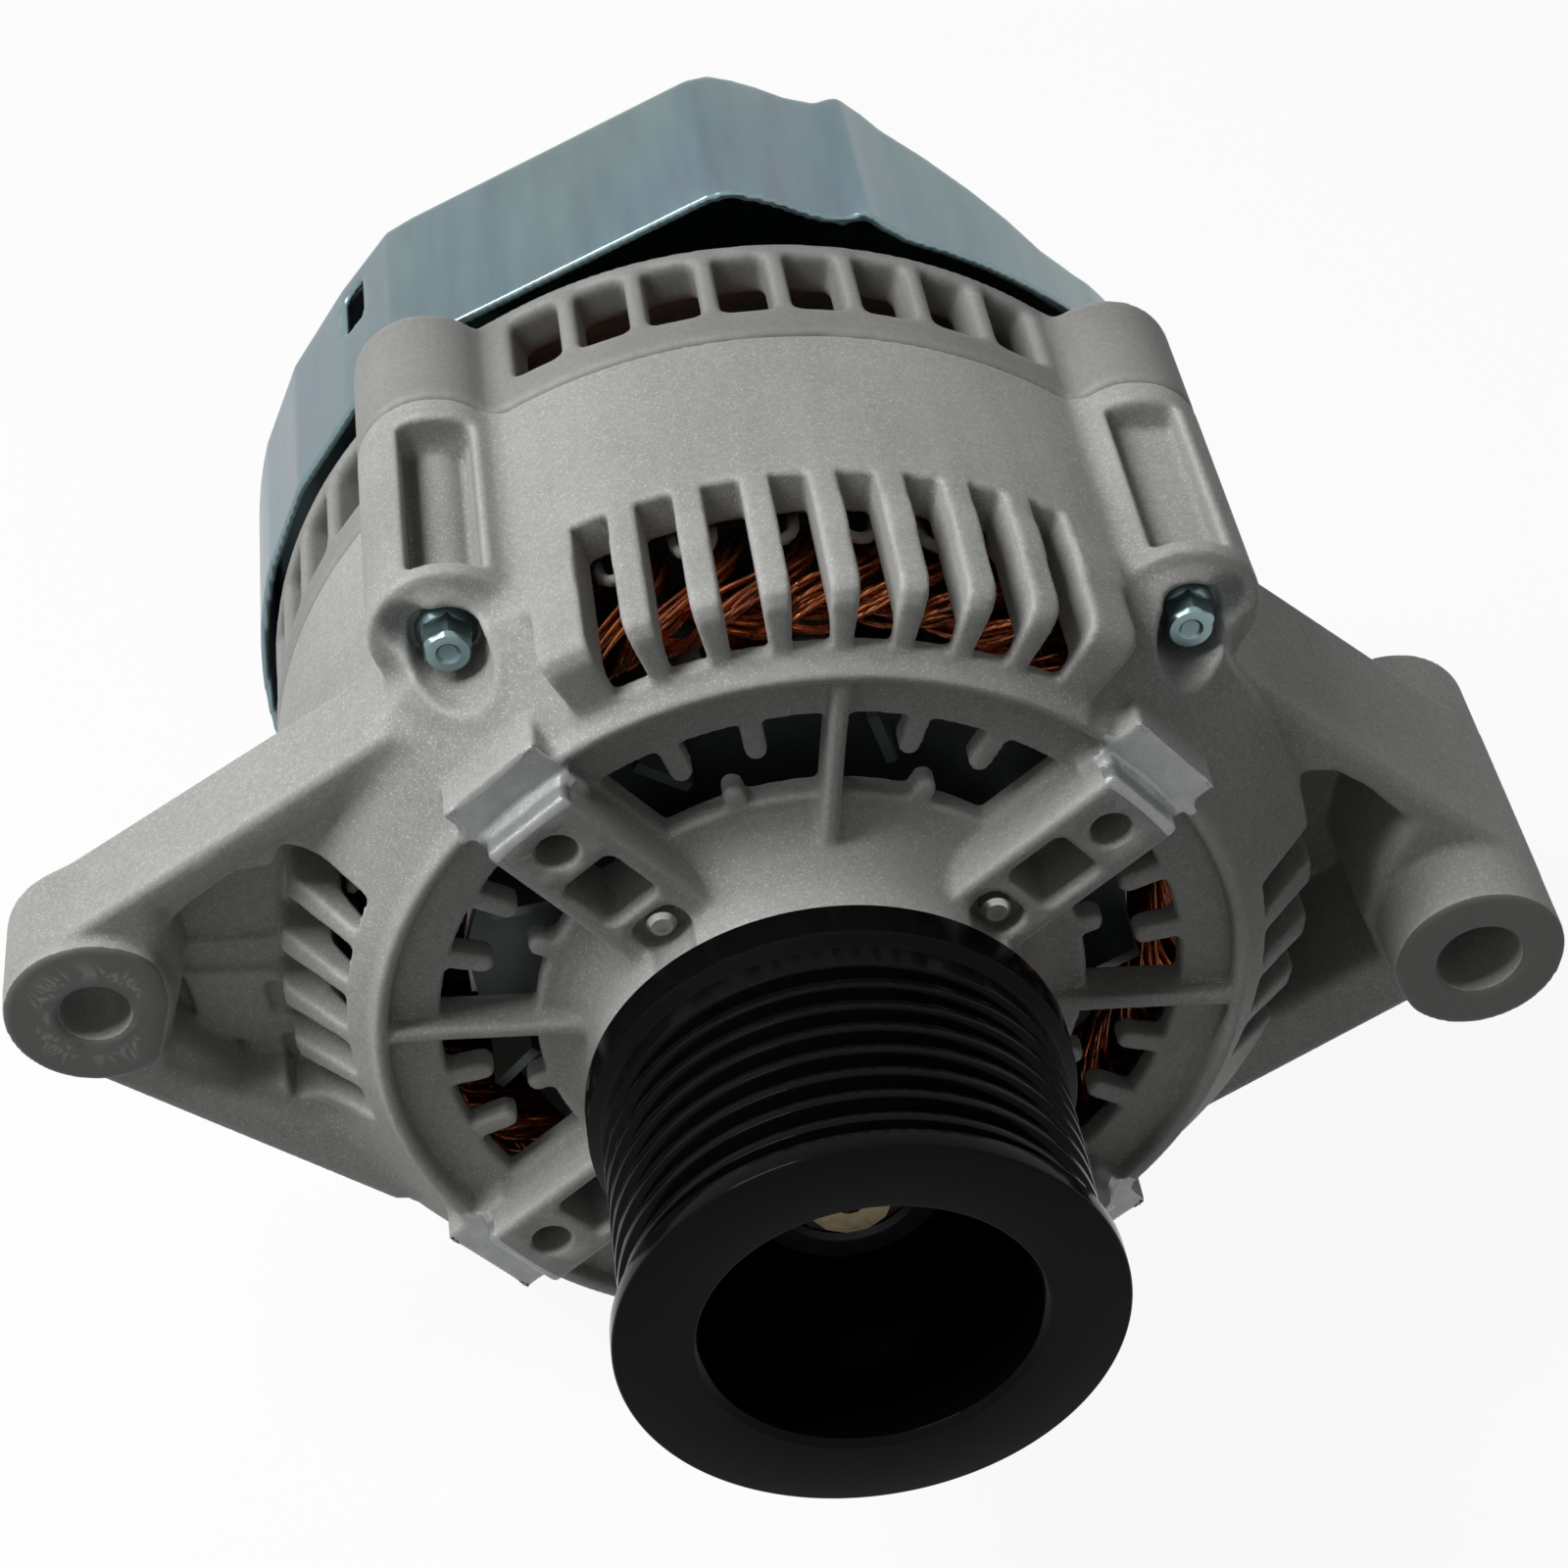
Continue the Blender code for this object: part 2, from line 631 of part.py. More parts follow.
def comb_outline(side, turn):
    """Half of one vent between two arms, with fingers from the rim and a stub from the hub."""
    arm = ARM_HALF_WIDTH + COMB_MARGIN
    rib = RIB_HALF_WIDTH

    def limits(radius):
        return asin(rib / radius), radians(45.0) - asin(arm / radius)

    def point(angle, radius, across=0.0):
        return radius * sin(angle) + across * cos(angle), radius * cos(angle) - across * sin(angle)

    def finger(angle, base, tip, half):
        """Finger outline in the order of rising angle."""
        away = 1 if tip > base else -1
        root = sqrt(base * base - half * half)
        shape = [point(angle, root, -half)]
        for step in range(4):
            turn_by = radians(180.0 * step / 3)
            shape.append(point(angle, tip - away * half + away * half * sin(turn_by), -half * cos(turn_by)))
        shape.append(point(angle, root, half))
        return shape

    low, high = limits(COMB_OUTER_RADIUS)
    outline = [point(low, COMB_OUTER_RADIUS)]
    edge = low
    for tooth in TOOTH_ANGLES:
        middle = radians(tooth)
        spread = asin(TOOTH_HALF_WIDTH / COMB_OUTER_RADIUS)
        outline.append(point((edge + middle - spread) / 2, COMB_OUTER_RADIUS))
        outline += finger(middle, COMB_OUTER_RADIUS, TOOTH_TIP_RADIUS, TOOTH_HALF_WIDTH)
        edge = middle + spread
    outline.append(point((edge + high) / 2, COMB_OUTER_RADIUS))
    outline.append(point(high, COMB_OUTER_RADIUS))
    low, high = limits(COMB_INNER_RADIUS)
    outline.append(point(high, COMB_INNER_RADIUS))
    middle = radians(STUB_ANGLE)
    outline += reversed(finger(middle, COMB_INNER_RADIUS, STUB_TIP_RADIUS, TOOTH_HALF_WIDTH))
    outline.append(point(middle / 2, COMB_INNER_RADIUS))
    outline.append(point(low, COMB_INNER_RADIUS))
    turn = radians(turn)
    return [(side * x * cos(turn) - z * sin(turn), side * x * sin(turn) + z * cos(turn)) for x, z in outline]


def tangent_angle(away, radius, tip):
    """Where a line from the origin touches the upper or lower side of a circle that lies away from it."""
    return atan2(away.y, away.x) + tip * (asin(radius / away.length) + pi / 2)


def ear_outline(x, z, radius, sign):
    """Boss with two straight sides that run to the body near the bolt bosses."""
    start, end = [tangent_angle(Vector((abs(x) - EAR_ROOT_X, z - tip * EAR_ROOT_Z)), radius, tip) for tip in (1, -1)]
    points = [(0.0, EAR_ROOT_Z / 2), (EAR_ROOT_X, EAR_ROOT_Z)]
    points += circle(abs(x), z, radius, EAR_SIDES, degrees(start), degrees(end - start))
    points += [(EAR_ROOT_X, -EAR_ROOT_Z), (0.0, -EAR_ROOT_Z / 2)]
    return [(sign * px, pz) for px, pz in points]


def ear_pocket(x, z, radius, sign):
    """Recess between the boss, the body and a rim along both sides of an ear."""
    boss = abs(x) - radius + EAR_POCKET_WALL
    body = BODY_RADIUS - EAR_POCKET_REACH
    half = []
    for px in (boss, boss - EAR_POCKET_REACH, body, body - EAR_POCKET_REACH):
        flank = z + radius + (EAR_ROOT_Z - z - radius) * (abs(x) - px) / (abs(x) - EAR_ROOT_X)
        half.append((px, min(flank - EAR_POCKET_RIM, z + EAR_ROOT_Z / 2)))
    outline = half + [(px, 2 * z - pz) for px, pz in reversed(half)]
    return [(sign * px, pz) for px, pz in outline]


def boss_places():
    return [(sx * BOLT_X, sz * BOLT_Z) for sx in (1, -1) for sz in (1, -1)]


def bracket_body():
    shoulder_slope = [(RIM_RADIUS + RIM_WIDTH, RIM_BACK), (BODY_RADIUS, SHOULDER)]
    profile = [(0.0, HUB_FACE), (HUB_TOP_RADIUS, HUB_FACE), (HUB_RADIUS, HUB_FACE + HUB_CONE)]
    profile += [(HUB_RADIUS, FLOOR_FACE), (RIM_RADIUS, FLOOR_FACE), (RIM_RADIUS, RIM_FACE + RIM_WIDTH / 4)]
    profile += [(RIM_RADIUS + RIM_WIDTH / 4, RIM_FACE), (RIM_RADIUS + RIM_WIDTH * 0.7, RIM_FACE)]
    profile += shoulder_slope + [(BODY_RADIUS, BODY_END), (0.0, BODY_END)]
    return turned("drive_end_bracket", profile)


def bracket_cavity():
    seat = CORE_RADIUS + GAP
    cavity = seat - CAVITY_STEP
    stop = CORE_START - GAP
    bearing_bore = FRONT_BEARING_RADIUS + GAP
    lip = HUB_FACE + HUB_LIP
    back = floor_back()
    profile = [(0.0, HUB_FACE - GAP), (SPACER_RADIUS + RUN_GAP, HUB_FACE - GAP), (SPACER_RADIUS + RUN_GAP, lip)]
    profile += [(bearing_bore, lip), (bearing_bore, rotor_start()), (HUB_RADIUS, rotor_start())]
    profile += [(HUB_RADIUS, back), (RIM_RADIUS + RIM_WIDTH, back), (cavity, back + CAVITY_RAMP)]
    profile += [(cavity, stop), (seat, stop), (seat, BODY_END + GAP), (0.0, BODY_END + GAP)]
    return turned("bracket_cavity", profile)


def hood():
    """Upper sector where the casting runs forward to carry the long vents."""
    profile = [(RIM_RADIUS + RIM_WIDTH / 2, RIM_FACE), (BODY_RADIUS - HOOD_CORNER, RIM_FACE)]
    profile += [(BODY_RADIUS - HOOD_CORNER * 0.3, RIM_FACE + HOOD_CORNER * 0.3)]
    profile += [(BODY_RADIUS, RIM_FACE + HOOD_CORNER), (BODY_RADIUS, SHOULDER + HOOD_CORNER)]
    profile += [(RIM_RADIUS + RIM_WIDTH / 2, SHOULDER + HOOD_CORNER)]
    return turned("hood", profile, 12, 90.0 - HOOD_HALF_ANGLE, 2 * HOOD_HALF_ANGLE)


def hood_cavity():
    cavity = CORE_RADIUS + GAP - CAVITY_STEP
    inner = RIM_RADIUS + RIM_WIDTH
    half = HOOD_HALF_ANGLE - HOOD_SIDE_ANGLE
    profile = [(inner, RIM_FACE + HOOD_WALL), (cavity, RIM_FACE + HOOD_WALL)]
    profile += [(cavity, SHOULDER + HOOD_CORNER), (inner, SHOULDER + HOOD_CORNER)]
    return turned("hood_cavity", profile, 12, 90.0 - half, 2 * half)


def vents(middle, count, pitch, back):
    cutters = []
    for k in range(count):
        angle = middle + pitch * (k - (count - 1) / 2)
        inner, outer = core_seat() - CAVITY_STEP - GAP, BODY_RADIUS + VENT_REACH
        cutters.append(spoke("vent", angle, inner, outer, VENT_WIDTH / 2, RIM_FACE - OVERCUT, back))
    return cutters


def arm(angle):
    back = floor_back() - GAP
    rail = spoke("arm", angle, HUB_TOP_RADIUS, ARM_END_RADIUS, ARM_HALF_WIDTH, ARM_FACE, back)
    inner = COMB_OUTER_RADIUS + LAND_LAP
    unite(rail, spoke("land", angle, inner, LAND_RADIUS, LAND_HALF_WIDTH, LAND_FACE, back))
    return rail


def arm_cutters(angle):
    x, z = polar(angle, ARM_HOLE_CIRCLE)
    back = floor_back() - ARM_FLOOR
    start = ARM_WINDOW_START
    window = spoke("window", angle, start, start + ARM_WINDOW_LENGTH, ARM_WINDOW_HALF, ARM_FACE - GAP, back)
    return [disc("arm_hole", x, z, ARM_HOLE_RADIUS, ARM_FACE - GAP, back, SMALL), window]


def left_ear():
    outline = ear_outline(LEFT_EAR_X, LEFT_EAR_Z, LEFT_EAR_RADIUS, -1)
    return prism("left_ear", outline, LEFT_EAR_FACE, LEFT_EAR_FACE + LEFT_EAR_THICKNESS)


def right_ear():
    outline = ear_outline(RIGHT_EAR_X, RIGHT_EAR_Z, RIGHT_EAR_RADIUS, 1)
    ear = prism("right_ear", outline, RIGHT_ARM_FRONT, RIGHT_ARM_BACK)
    radius = RIGHT_EAR_RADIUS + GAP
    unite(ear, disc("pivot_boss", RIGHT_EAR_X, RIGHT_EAR_Z, radius, RIGHT_EAR_FACE, RIGHT_EAR_END, FINE))
    return ear


def ear_cutters():
    left, left_back = LEFT_EAR_FACE - OVERCUT, LEFT_EAR_FACE + LEFT_EAR_THICKNESS
    right, right_back = RIGHT_EAR_FACE - OVERCUT, RIGHT_EAR_END + OVERCUT
    outline = ear_pocket(LEFT_EAR_X, LEFT_EAR_Z, LEFT_EAR_RADIUS, -1)
    cutters = [prism("left_pocket", outline, left, left_back - LEFT_POCKET_FLOOR)]
    outline = ear_pocket(RIGHT_EAR_X, RIGHT_EAR_Z, RIGHT_EAR_RADIUS, 1)
    cutters.append(prism("right_pocket", outline, RIGHT_ARM_FRONT - OVERCUT, RIGHT_ARM_BACK - RIGHT_POCKET_FLOOR))
    cutters.append(disc("left_hole", LEFT_EAR_X, LEFT_EAR_Z, LEFT_HOLE_RADIUS, left, left_back + OVERCUT))
    cutters.append(disc("right_hole", RIGHT_EAR_X, RIGHT_EAR_Z, RIGHT_HOLE_RADIUS, right, right_back))
    return cutters


def boss_front(z):
    return BOSS_FRONT if z > 0.0 else BOSS_FRONT + LOWER_BOSS_DROP


def bolt_seat(z):
    return BOLT_SEAT if z > 0.0 else BOLT_SEAT + LOWER_BOLT_DROP


def boss_relief(x, z):
    """What is taken off above an upper bolt, up to the lip at the joint, and the scoop beside its head."""
    start, stop = BOLT_SEAT + CHANNEL_FRONT, BODY_END - CHANNEL_LIP
    top = z + BOSS_RADIUS + OVERCUT
    half, low = (FACET_HALF_WIDTH, z + FACET_LIFT) if x > 0.0 else (CHANNEL_HALF_WIDTH, z)
    side = SCOOP_SHIFT if x > 0.0 else -SCOOP_SHIFT
    scoop = disc("scoop", x + side, z + SCOOP_LIFT, SCOOP_RADIUS, BOSS_FRONT - OVERCUT, BOLT_SEAT, TINY)
    return [box("relief", (x - half, start, low), (x + half, stop, top)), scoop]


def bolt_ridge(x, z):
    """Half-round wall over the bolt where it runs along the floor of the channel."""
    radius = BOLT_RADIUS + GAP + RIDGE_WALL
    return disc("ridge", x, z, radius, BOLT_SEAT, BODY_END - CHANNEL_LIP + OVERCUT)


def drive_end_bracket():
    bracket = bracket_body()
    unite(bracket, hood(), left_ear(), right_ear())
    for x, z in boss_places():
        unite(bracket, disc("bolt_boss", x, z, BOSS_RADIUS, boss_front(z), BODY_END, MEDIUM))
        if z > 0.0:
            cut(bracket, *boss_relief(x, z))
            unite(bracket, bolt_ridge(x, z))
    cut(bracket, *ear_cutters())
    cut(bracket, bracket_cavity(), hood_cavity())
    for angle in ARM_ANGLES:
        unite(bracket, arm(angle))
        cut(bracket, *arm_cutters(angle))
        x, z = polar(angle, RETAINER_SCREW_CIRCLE)
        hole = rotor_start() - RETAINER_SCREW_DEPTH
        cut(bracket, disc("screw_hole", x, z, RETAINER_SCREW_RADIUS + GAP, hole, rotor_start() + GAP, TINY))
    combs = [prism("comb", comb_outline(side, turn), FLOOR_FACE - OVERCUT, floor_back() + OVERCUT)
             for side in (1, -1) for turn in (0, 90, 180, 270)]
    cut(bracket, group("combs", combs))
    inner, outer = HUB_RADIUS - OVERCUT, RIM_RADIUS + OVERCUT
    for angle in (0.0, 90.0, 180.0, 270.0):
        unite(bracket, spoke("rib", angle, inner, outer, RIB_HALF_WIDTH, RIB_FACE, floor_back() - GAP))
    slots = vents(90.0, VENTS, VENT_PITCH, VENT_END) + vents(270.0, VENTS, VENT_PITCH, VENT_END)
    side_back = LEFT_EAR_FACE + LEFT_EAR_THICKNESS - LEFT_POCKET_FLOOR - OVERCUT
    slots += vents(180.0, LEFT_VENTS, SIDE_VENT_PITCH, side_back)
    slots += vents(0.0, RIGHT_VENTS, SIDE_VENT_PITCH, side_back)
    cut(bracket, group("slots", slots))
    for x, z in boss_places():
        cut(bracket, disc("counterbore", x, z, COUNTERBORE_RADIUS, BOSS_FRONT - COUNTERBORE_RADIUS, bolt_seat(z)))
        cut(bracket, disc("bolt_hole", x, z, BOLT_RADIUS + GAP, bolt_seat(z) - GAP, BODY_END + GAP, TINY))
    return finish(bracket, CAST)


def loft(name, sections):
    """Closed solid through outlines of (x, station, z) points with equal counts."""
    mesh = bmesh.new()
    rows = [[mesh.verts.new((x, at(station), z)) for x, station, z in section] for section in sections]
    mesh.faces.new(rows[0])
    mesh.faces.new(rows[-1])
    for low, high in zip(rows, rows[1:]):
        for k in range(len(low)):
            after = (k + 1) % len(low)
            mesh.faces.new((low[k], low[after], high[after], high[k]))
    return from_bmesh(name, mesh)


def stepped(name, x, z, profile, segments=SMALL):
    """Solid turned about a line parallel to the shaft from (radius, station) steps."""
    ends = [(0.0, profile[0][1])] + profile + [(0.0, profile[-1][1])]
    return turned(name, ends, segments, x=x, z=z)


def core_seat():
    return CORE_RADIUS + GAP


def core_end():
    return CORE_START + CORE_LENGTH


def bearing_retainer():
    front = rotor_start() + GAP
    back = front + RETAINER_THICKNESS
    profile = [(RETAINER_BORE, front), (RETAINER_RADIUS, front), (RETAINER_RADIUS, back), (RETAINER_BORE, back)]
    plate = turned("bearing_retainer", profile, FINE)
    for angle in ARM_ANGLES:
        x, z = polar(angle, RETAINER_SCREW_CIRCLE)
        cut(plate, disc("hole", x, z, RETAINER_SCREW_RADIUS + GAP, front - GAP, back + GAP, TINY))
    return finish(plate, STEEL)


def retainer_screws():
    seat = rotor_start() + 2 * GAP + RETAINER_THICKNESS
    tip = rotor_start() - RETAINER_SCREW_DEPTH + GAP
    for k, angle in enumerate(ARM_ANGLES, 1):
        x, z = polar(angle, RETAINER_SCREW_CIRCLE)
        steps = [(RETAINER_SCREW_RADIUS, tip), (RETAINER_SCREW_RADIUS, seat), (RETAINER_HEAD_RADIUS, seat)]
        steps.append((RETAINER_HEAD_RADIUS, seat + RETAINER_HEAD_HEIGHT))
        finish(stepped(f"retainer_screw_{k}", x, z, steps, TINY), STEEL)


def through_bolts():
    for k, (x, z) in enumerate(boss_places(), 1):
        seat = bolt_seat(z) - GAP
        flange = seat - BOLT_FLANGE_HEIGHT
        steps = [(BOLT_FLANGE_RADIUS, flange), (BOLT_FLANGE_RADIUS, seat), (BOLT_RADIUS, seat)]
        steps.append((BOLT_RADIUS, BOSS_BACK - BOLT_END_WALL - GAP))
        bolt = stepped(f"through_bolt_{k}", x, z, steps, TINY)
        unite(bolt, prism("head", hexagon(x, z, BOLT_HEAD_FLATS), flange - BOLT_HEAD_HEIGHT, flange + GAP))
        finish(bolt, ZINC)


def stator_core():
    """Ring of laminations with a tooth between every two slots."""
    mesh = bmesh.new()
    inner = ROTOR_RADIUS + AIR_GAP
    bottom = inner + SLOT_DEPTH
    pitch = 2 * pi / STATOR_SLOTS
    tooth = pitch / 2 - asin(SLOT_WIDTH / 2 / inner)
    root = pitch / 2 - asin(SLOT_WIDTH / 2 / bottom)
    corners = [(inner, -tooth), (inner, tooth), (bottom, root), (bottom, -root), (CORE_RADIUS, 0.0)]
    ends = []
    for station in (CORE_START, core_end()):
        rows = []
        for k in range(STATOR_SLOTS):
            turn = pitch * k
            rows.append([mesh.verts.new((r * cos(turn + a), at(station), r * sin(turn + a))) for r, a in corners])
        ends.append(rows)
    for rows in ends:
        for here, there in zip(rows, rows[1:] + rows[:1]):
            mesh.faces.new(here[:4])
            mesh.faces.new((here[3], here[2], here[4]))
            mesh.faces.new((here[2], there[3], there[4], here[4]))
    low, high = ends
    for k in range(STATOR_SLOTS):
        n = (k + 1) % STATOR_SLOTS
        walls = [(low[k][0], low[k][1], high[k][1], high[k][0]), (low[k][1], low[k][2], high[k][2], high[k][1])]
        walls.append((low[k][3], low[k][0], high[k][0], high[k][3]))
        walls.append((low[k][2], low[n][3], high[n][3], high[k][2]))
        walls.append((low[k][4], low[n][4], high[n][4], high[k][4]))
        for wall in walls:
            mesh.faces.new(wall)
    return finish(from_bmesh("stator_core", mesh), DARK_STEEL)


def end_winding(name, near, far):
    """Ring of bent conductors that stands out of one face of the core."""
    lean = (far - near) / 8
    profile = [(OVERHANG_INNER, near), (OVERHANG_OUTER, near), (OVERHANG_OUTER, far - lean)]
    profile += [(OVERHANG_OUTER - abs(lean), far), (OVERHANG_INNER + abs(lean) / 2, far)]
    return finish(turned(name, profile, FINE), COPPER)


def stator_windings():
    end_winding("front_end_winding", CORE_START - OVERHANG_LIFT, CORE_START - FRONT_OVERHANG)
    end_winding("rear_end_winding", core_end() + OVERHANG_LIFT, core_end() + REAR_OVERHANG)


def claw_section(angle, station, inner, half):
    along = Vector((cos(angle), sin(angle)))
    across = Vector((-along.y, along.x))
    shape = [(inner, -half), (sqrt(ROTOR_RADIUS ** 2 - half ** 2), -half), (ROTOR_RADIUS, 0.0)]
    shape += [(sqrt(ROTOR_RADIUS ** 2 - half ** 2), half), (inner, half)]
    points = [along * r + across * w for r, w in shape]
    return [(point.x, station, point.y) for point in points]


def claw_pole(name, turn, side):
    """Pole disc with six tapered fingers; side is 1 for the front one and -1 for the rear."""
    middle = core_middle()
    outside = middle - side * (middle - pole_front())
    inside = outside + side * POLE_DISC
    half_gap = middle - side * GAP / 2
    tip = middle + side * (middle - pole_front() - POLE_TIP_GAP)
    bore = ROTOR_SEAT_RADIUS + GAP
    profile = [(bore, outside), (POLE_NECK_RADIUS, outside), (POLE_NECK_RADIUS, inside)]
    profile += [(COIL_BORE - GAP, inside), (COIL_BORE - GAP, half_gap), (bore, half_gap)]
    pole = turned(name, profile, ROTOR_SIDES)
    fingers = []
    for k in range(POLES):
        angle = radians(turn + 360.0 * k / POLES)
        fingers.append(loft("finger", [
            claw_section(angle, outside, POLE_NECK_RADIUS * 0.9, POLE_ROOT_HALF),
            claw_section(angle, inside, COIL_RADIUS + RUN_GAP, POLE_ROOT_HALF * 0.9),
            claw_section(angle, tip, ROTOR_RADIUS - POLE_TIP_THICKNESS, POLE_TIP_HALF),
        ]))
    unite(pole, *fingers)
    return finish(pole, STEEL)


def field_coil():
    front = pole_front() + POLE_DISC + GAP
    back = pole_back() - POLE_DISC - GAP
    return ring("field_coil", COIL_BORE, COIL_RADIUS, front, back, ROTOR_SIDES, COPPER)


def fan(name, seat, tip, lean):
    """Disc against a pole with blades on its other face; seat and tip are stations."""
    away = 1 if tip > seat else -1
    face = seat + away * FAN_THICKNESS
    bore = ROTOR_SEAT_RADIUS + GAP
    wheel = turned(name, [(bore, seat), (FAN_OUTER_RADIUS, seat), (FAN_OUTER_RADIUS, face), (bore, face)], ROTOR_SIDES)
    blades = []
    middle = (FAN_INNER_RADIUS + FAN_OUTER_RADIUS) / 2
    reach = (FAN_OUTER_RADIUS - FAN_INNER_RADIUS) / 2
    for k in range(FAN_BLADES):
        turn = radians(360.0 * k / FAN_BLADES)
        centre = Vector((cos(turn), sin(turn))) * middle
        along = Vector((cos(turn + lean), sin(turn + lean))) * reach
        across = Vector((-along.y, along.x)).normalized() * FAN_THICKNESS / 2
        corners = [centre - along - across, centre + along - across, centre + along + across, centre - along + across]
        blades.append(prism("blade", [tuple(corner) for corner in corners], face - away * GAP, tip))
    unite(wheel, group("blades", blades))
    return finish(wheel, ZINC)


def fans():
    fan("front_fan", pole_front() - GAP, floor_back() + RUN_GAP, radians(BLADE_LEAN))
    rear_tip = REAR_PLATE_FACE - REAR_PLATE_THICKNESS - RUN_GAP
    fan("rear_fan", pole_back() + GAP, rear_tip, radians(-BLADE_LEAN))


def slip_rings():
    start = REAR_HUB_END + SLEEVE_LEAD
    sleeve = SLIP_SEAT_RADIUS + GAP
    ring("slip_ring_sleeve", sleeve, sleeve + SLEEVE_WALL, start, start + SLEEVE_LENGTH, MEDIUM, PLASTIC)
    inner = sleeve + SLEEVE_WALL + GAP
    for label, middle in zip(("front", "rear"), ring_stations()):
        front, back = middle - RING_WIDTH / 2, middle + RING_WIDTH / 2
        ring(label + "_slip_ring", inner, RING_RADIUS, front, back, MEDIUM, COPPER)


def ring_stations():
    middle = REAR_HUB_END + SLEEVE_LEAD + SLEEVE_LENGTH / 2
    return middle - RING_SPACING / 2, middle + RING_SPACING / 2


def set_origin(obj, point):
    obj.data.transform(Matrix.Translation(-Vector(point)))
    obj.location = point
    return obj


def brush_start():
    return RING_RADIUS + GAP


def brush_room():
    """Height of the closed end of the brush channels above the shaft."""
    return brush_start() + BRUSH_LENGTH + SPRING_LENGTH + 2 * GAP


def spring(name, station, low, high):
    """Coil of square wire, closed at both ends."""
    steps = SPRING_TURNS * SPRING_SIDES
    sections = []
    rise = high - low - 2 * SPRING_WIRE
    for k in range(steps + 1):
        angle = 2 * pi * k / SPRING_SIDES
        height = low + SPRING_WIRE + rise * k / steps
        section = []
        for dr, dz in ((-1, -1), (1, -1), (1, 1), (-1, 1)):
            radius = SPRING_RADIUS + dr * SPRING_WIRE
            section.append((radius * cos(angle), station + radius * sin(angle), height + dz * SPRING_WIRE))
        sections.append(section)
    return finish(loft(name, sections), STEEL)


def brushes():
    for label, station in zip(("front", "rear"), ring_stations()):
        low = brush_start()
        top = low + BRUSH_LENGTH
        half = (BRUSH_X / 2, BRUSH_Y / 2)
        block = box(label + "_brush", (-half[0], station - half[1], low), (half[0], station + half[1], top))
        set_origin(finish(block, CARBON), (0.0, at(station), low))
        coil = spring(label + "_brush_spring", station, top + GAP, brush_room() - GAP)
        set_origin(coil, (0.0, at(station), top + GAP))


def brush_holder():
    first, last = ring_stations()
    room_x = BRUSH_X / 2 + GAP
    room_y = BRUSH_Y / 2 + GAP
    low = brush_start() + HOLDER_LIFT
    top = brush_room() + HOLDER_WALL
    front = REAR_HUB_END + GAP
    back = last + room_y + HOLDER_WALL
    holder = box("brush_holder", (-room_x - HOLDER_WALL, front, low), (room_x + HOLDER_WALL, back, top))
    for station in (first, last):
        cut(holder, box("channel", (-room_x, station - room_y, low - GAP), (room_x, station + room_y, brush_room())))
    return finish(holder, PLASTIC)


def rear_bracket():
    front = BODY_END + GAP
    plate_inside = REAR_PLATE_FACE - REAR_PLATE_THICKNESS
    end = REAR_HUB_END
    profile = [(BODY_RADIUS, front), (BODY_RADIUS, LINTEL_END - (BODY_RADIUS - LINTEL_RADIUS) / 2)]
    profile += [(LINTEL_RADIUS, LINTEL_END), (REAR_SHOULDER_RADIUS, REAR_PLATE_FACE)]
    profile += [(REAR_HUB_RADIUS, REAR_PLATE_FACE), (REAR_HUB_RADIUS, end)]
    bracket = stepped("rear_bracket", 0.0, 0.0, profile, ROUND)
    for x, z in boss_places():
        unite(bracket, disc("boss", x, z, BOSS_RADIUS, front, BOSS_BACK, MEDIUM))
    cavity = core_seat() - CAVITY_STEP
    stop = core_end() + GAP
    bore = REAR_BEARING_RADIUS + GAP
    race_back = rear_bearing_back() + GAP
    inside = [(core_seat(), front - GAP), (core_seat(), stop), (cavity, stop)]
    inside += [(cavity, LINTEL_END - REAR_PLATE_THICKNESS / 2)]
    inside += [(REAR_SHOULDER_RADIUS - REAR_PLATE_THICKNESS, plate_inside), (bore, plate_inside)]
    inside += [(bore, race_back), (bore - REAR_RACE_LIP, race_back), (bore - REAR_RACE_LIP, end + GAP)]
    cut(bracket, stepped("cavity", 0.0, 0.0, inside, ROUND))
    half = radians(WINDOW_PITCH) * BODY_RADIUS / 2 - WINDOW_RIB_HALF
    openings = []
    for middle, count in ((90.0, WINDOWS), (270.0, WINDOWS), (0.0, SIDE_WINDOWS), (180.0, SIDE_WINDOWS)):
        for k in range(count):
            angle = middle + WINDOW_PITCH * (k - (count - 1) / 2)
            inner, outer = cavity - VENT_REACH, BODY_RADIUS + VENT_REACH
            openings.append(spoke("window", angle, inner, outer, half, REAR_BAND_END, WINDOW_END))
    for k in range(REAR_VENTS):
        start, stop = REAR_VENT_START, REAR_SHOULDER_RADIUS - REAR_VENT_MARGIN
        angle = 360.0 * k / REAR_VENTS
        openings.append(spoke("vent", angle, start, stop, REAR_VENT_HALF, plate_inside - GAP, REAR_PLATE_FACE + GAP))
    cut(bracket, group("openings", openings))
    for x, z in boss_places():
        cut(bracket, disc("thread", x, z, BOLT_RADIUS + GAP, front - GAP, BOSS_BACK - BOLT_END_WALL, TINY))
    return finish(bracket, CAST_DARK)


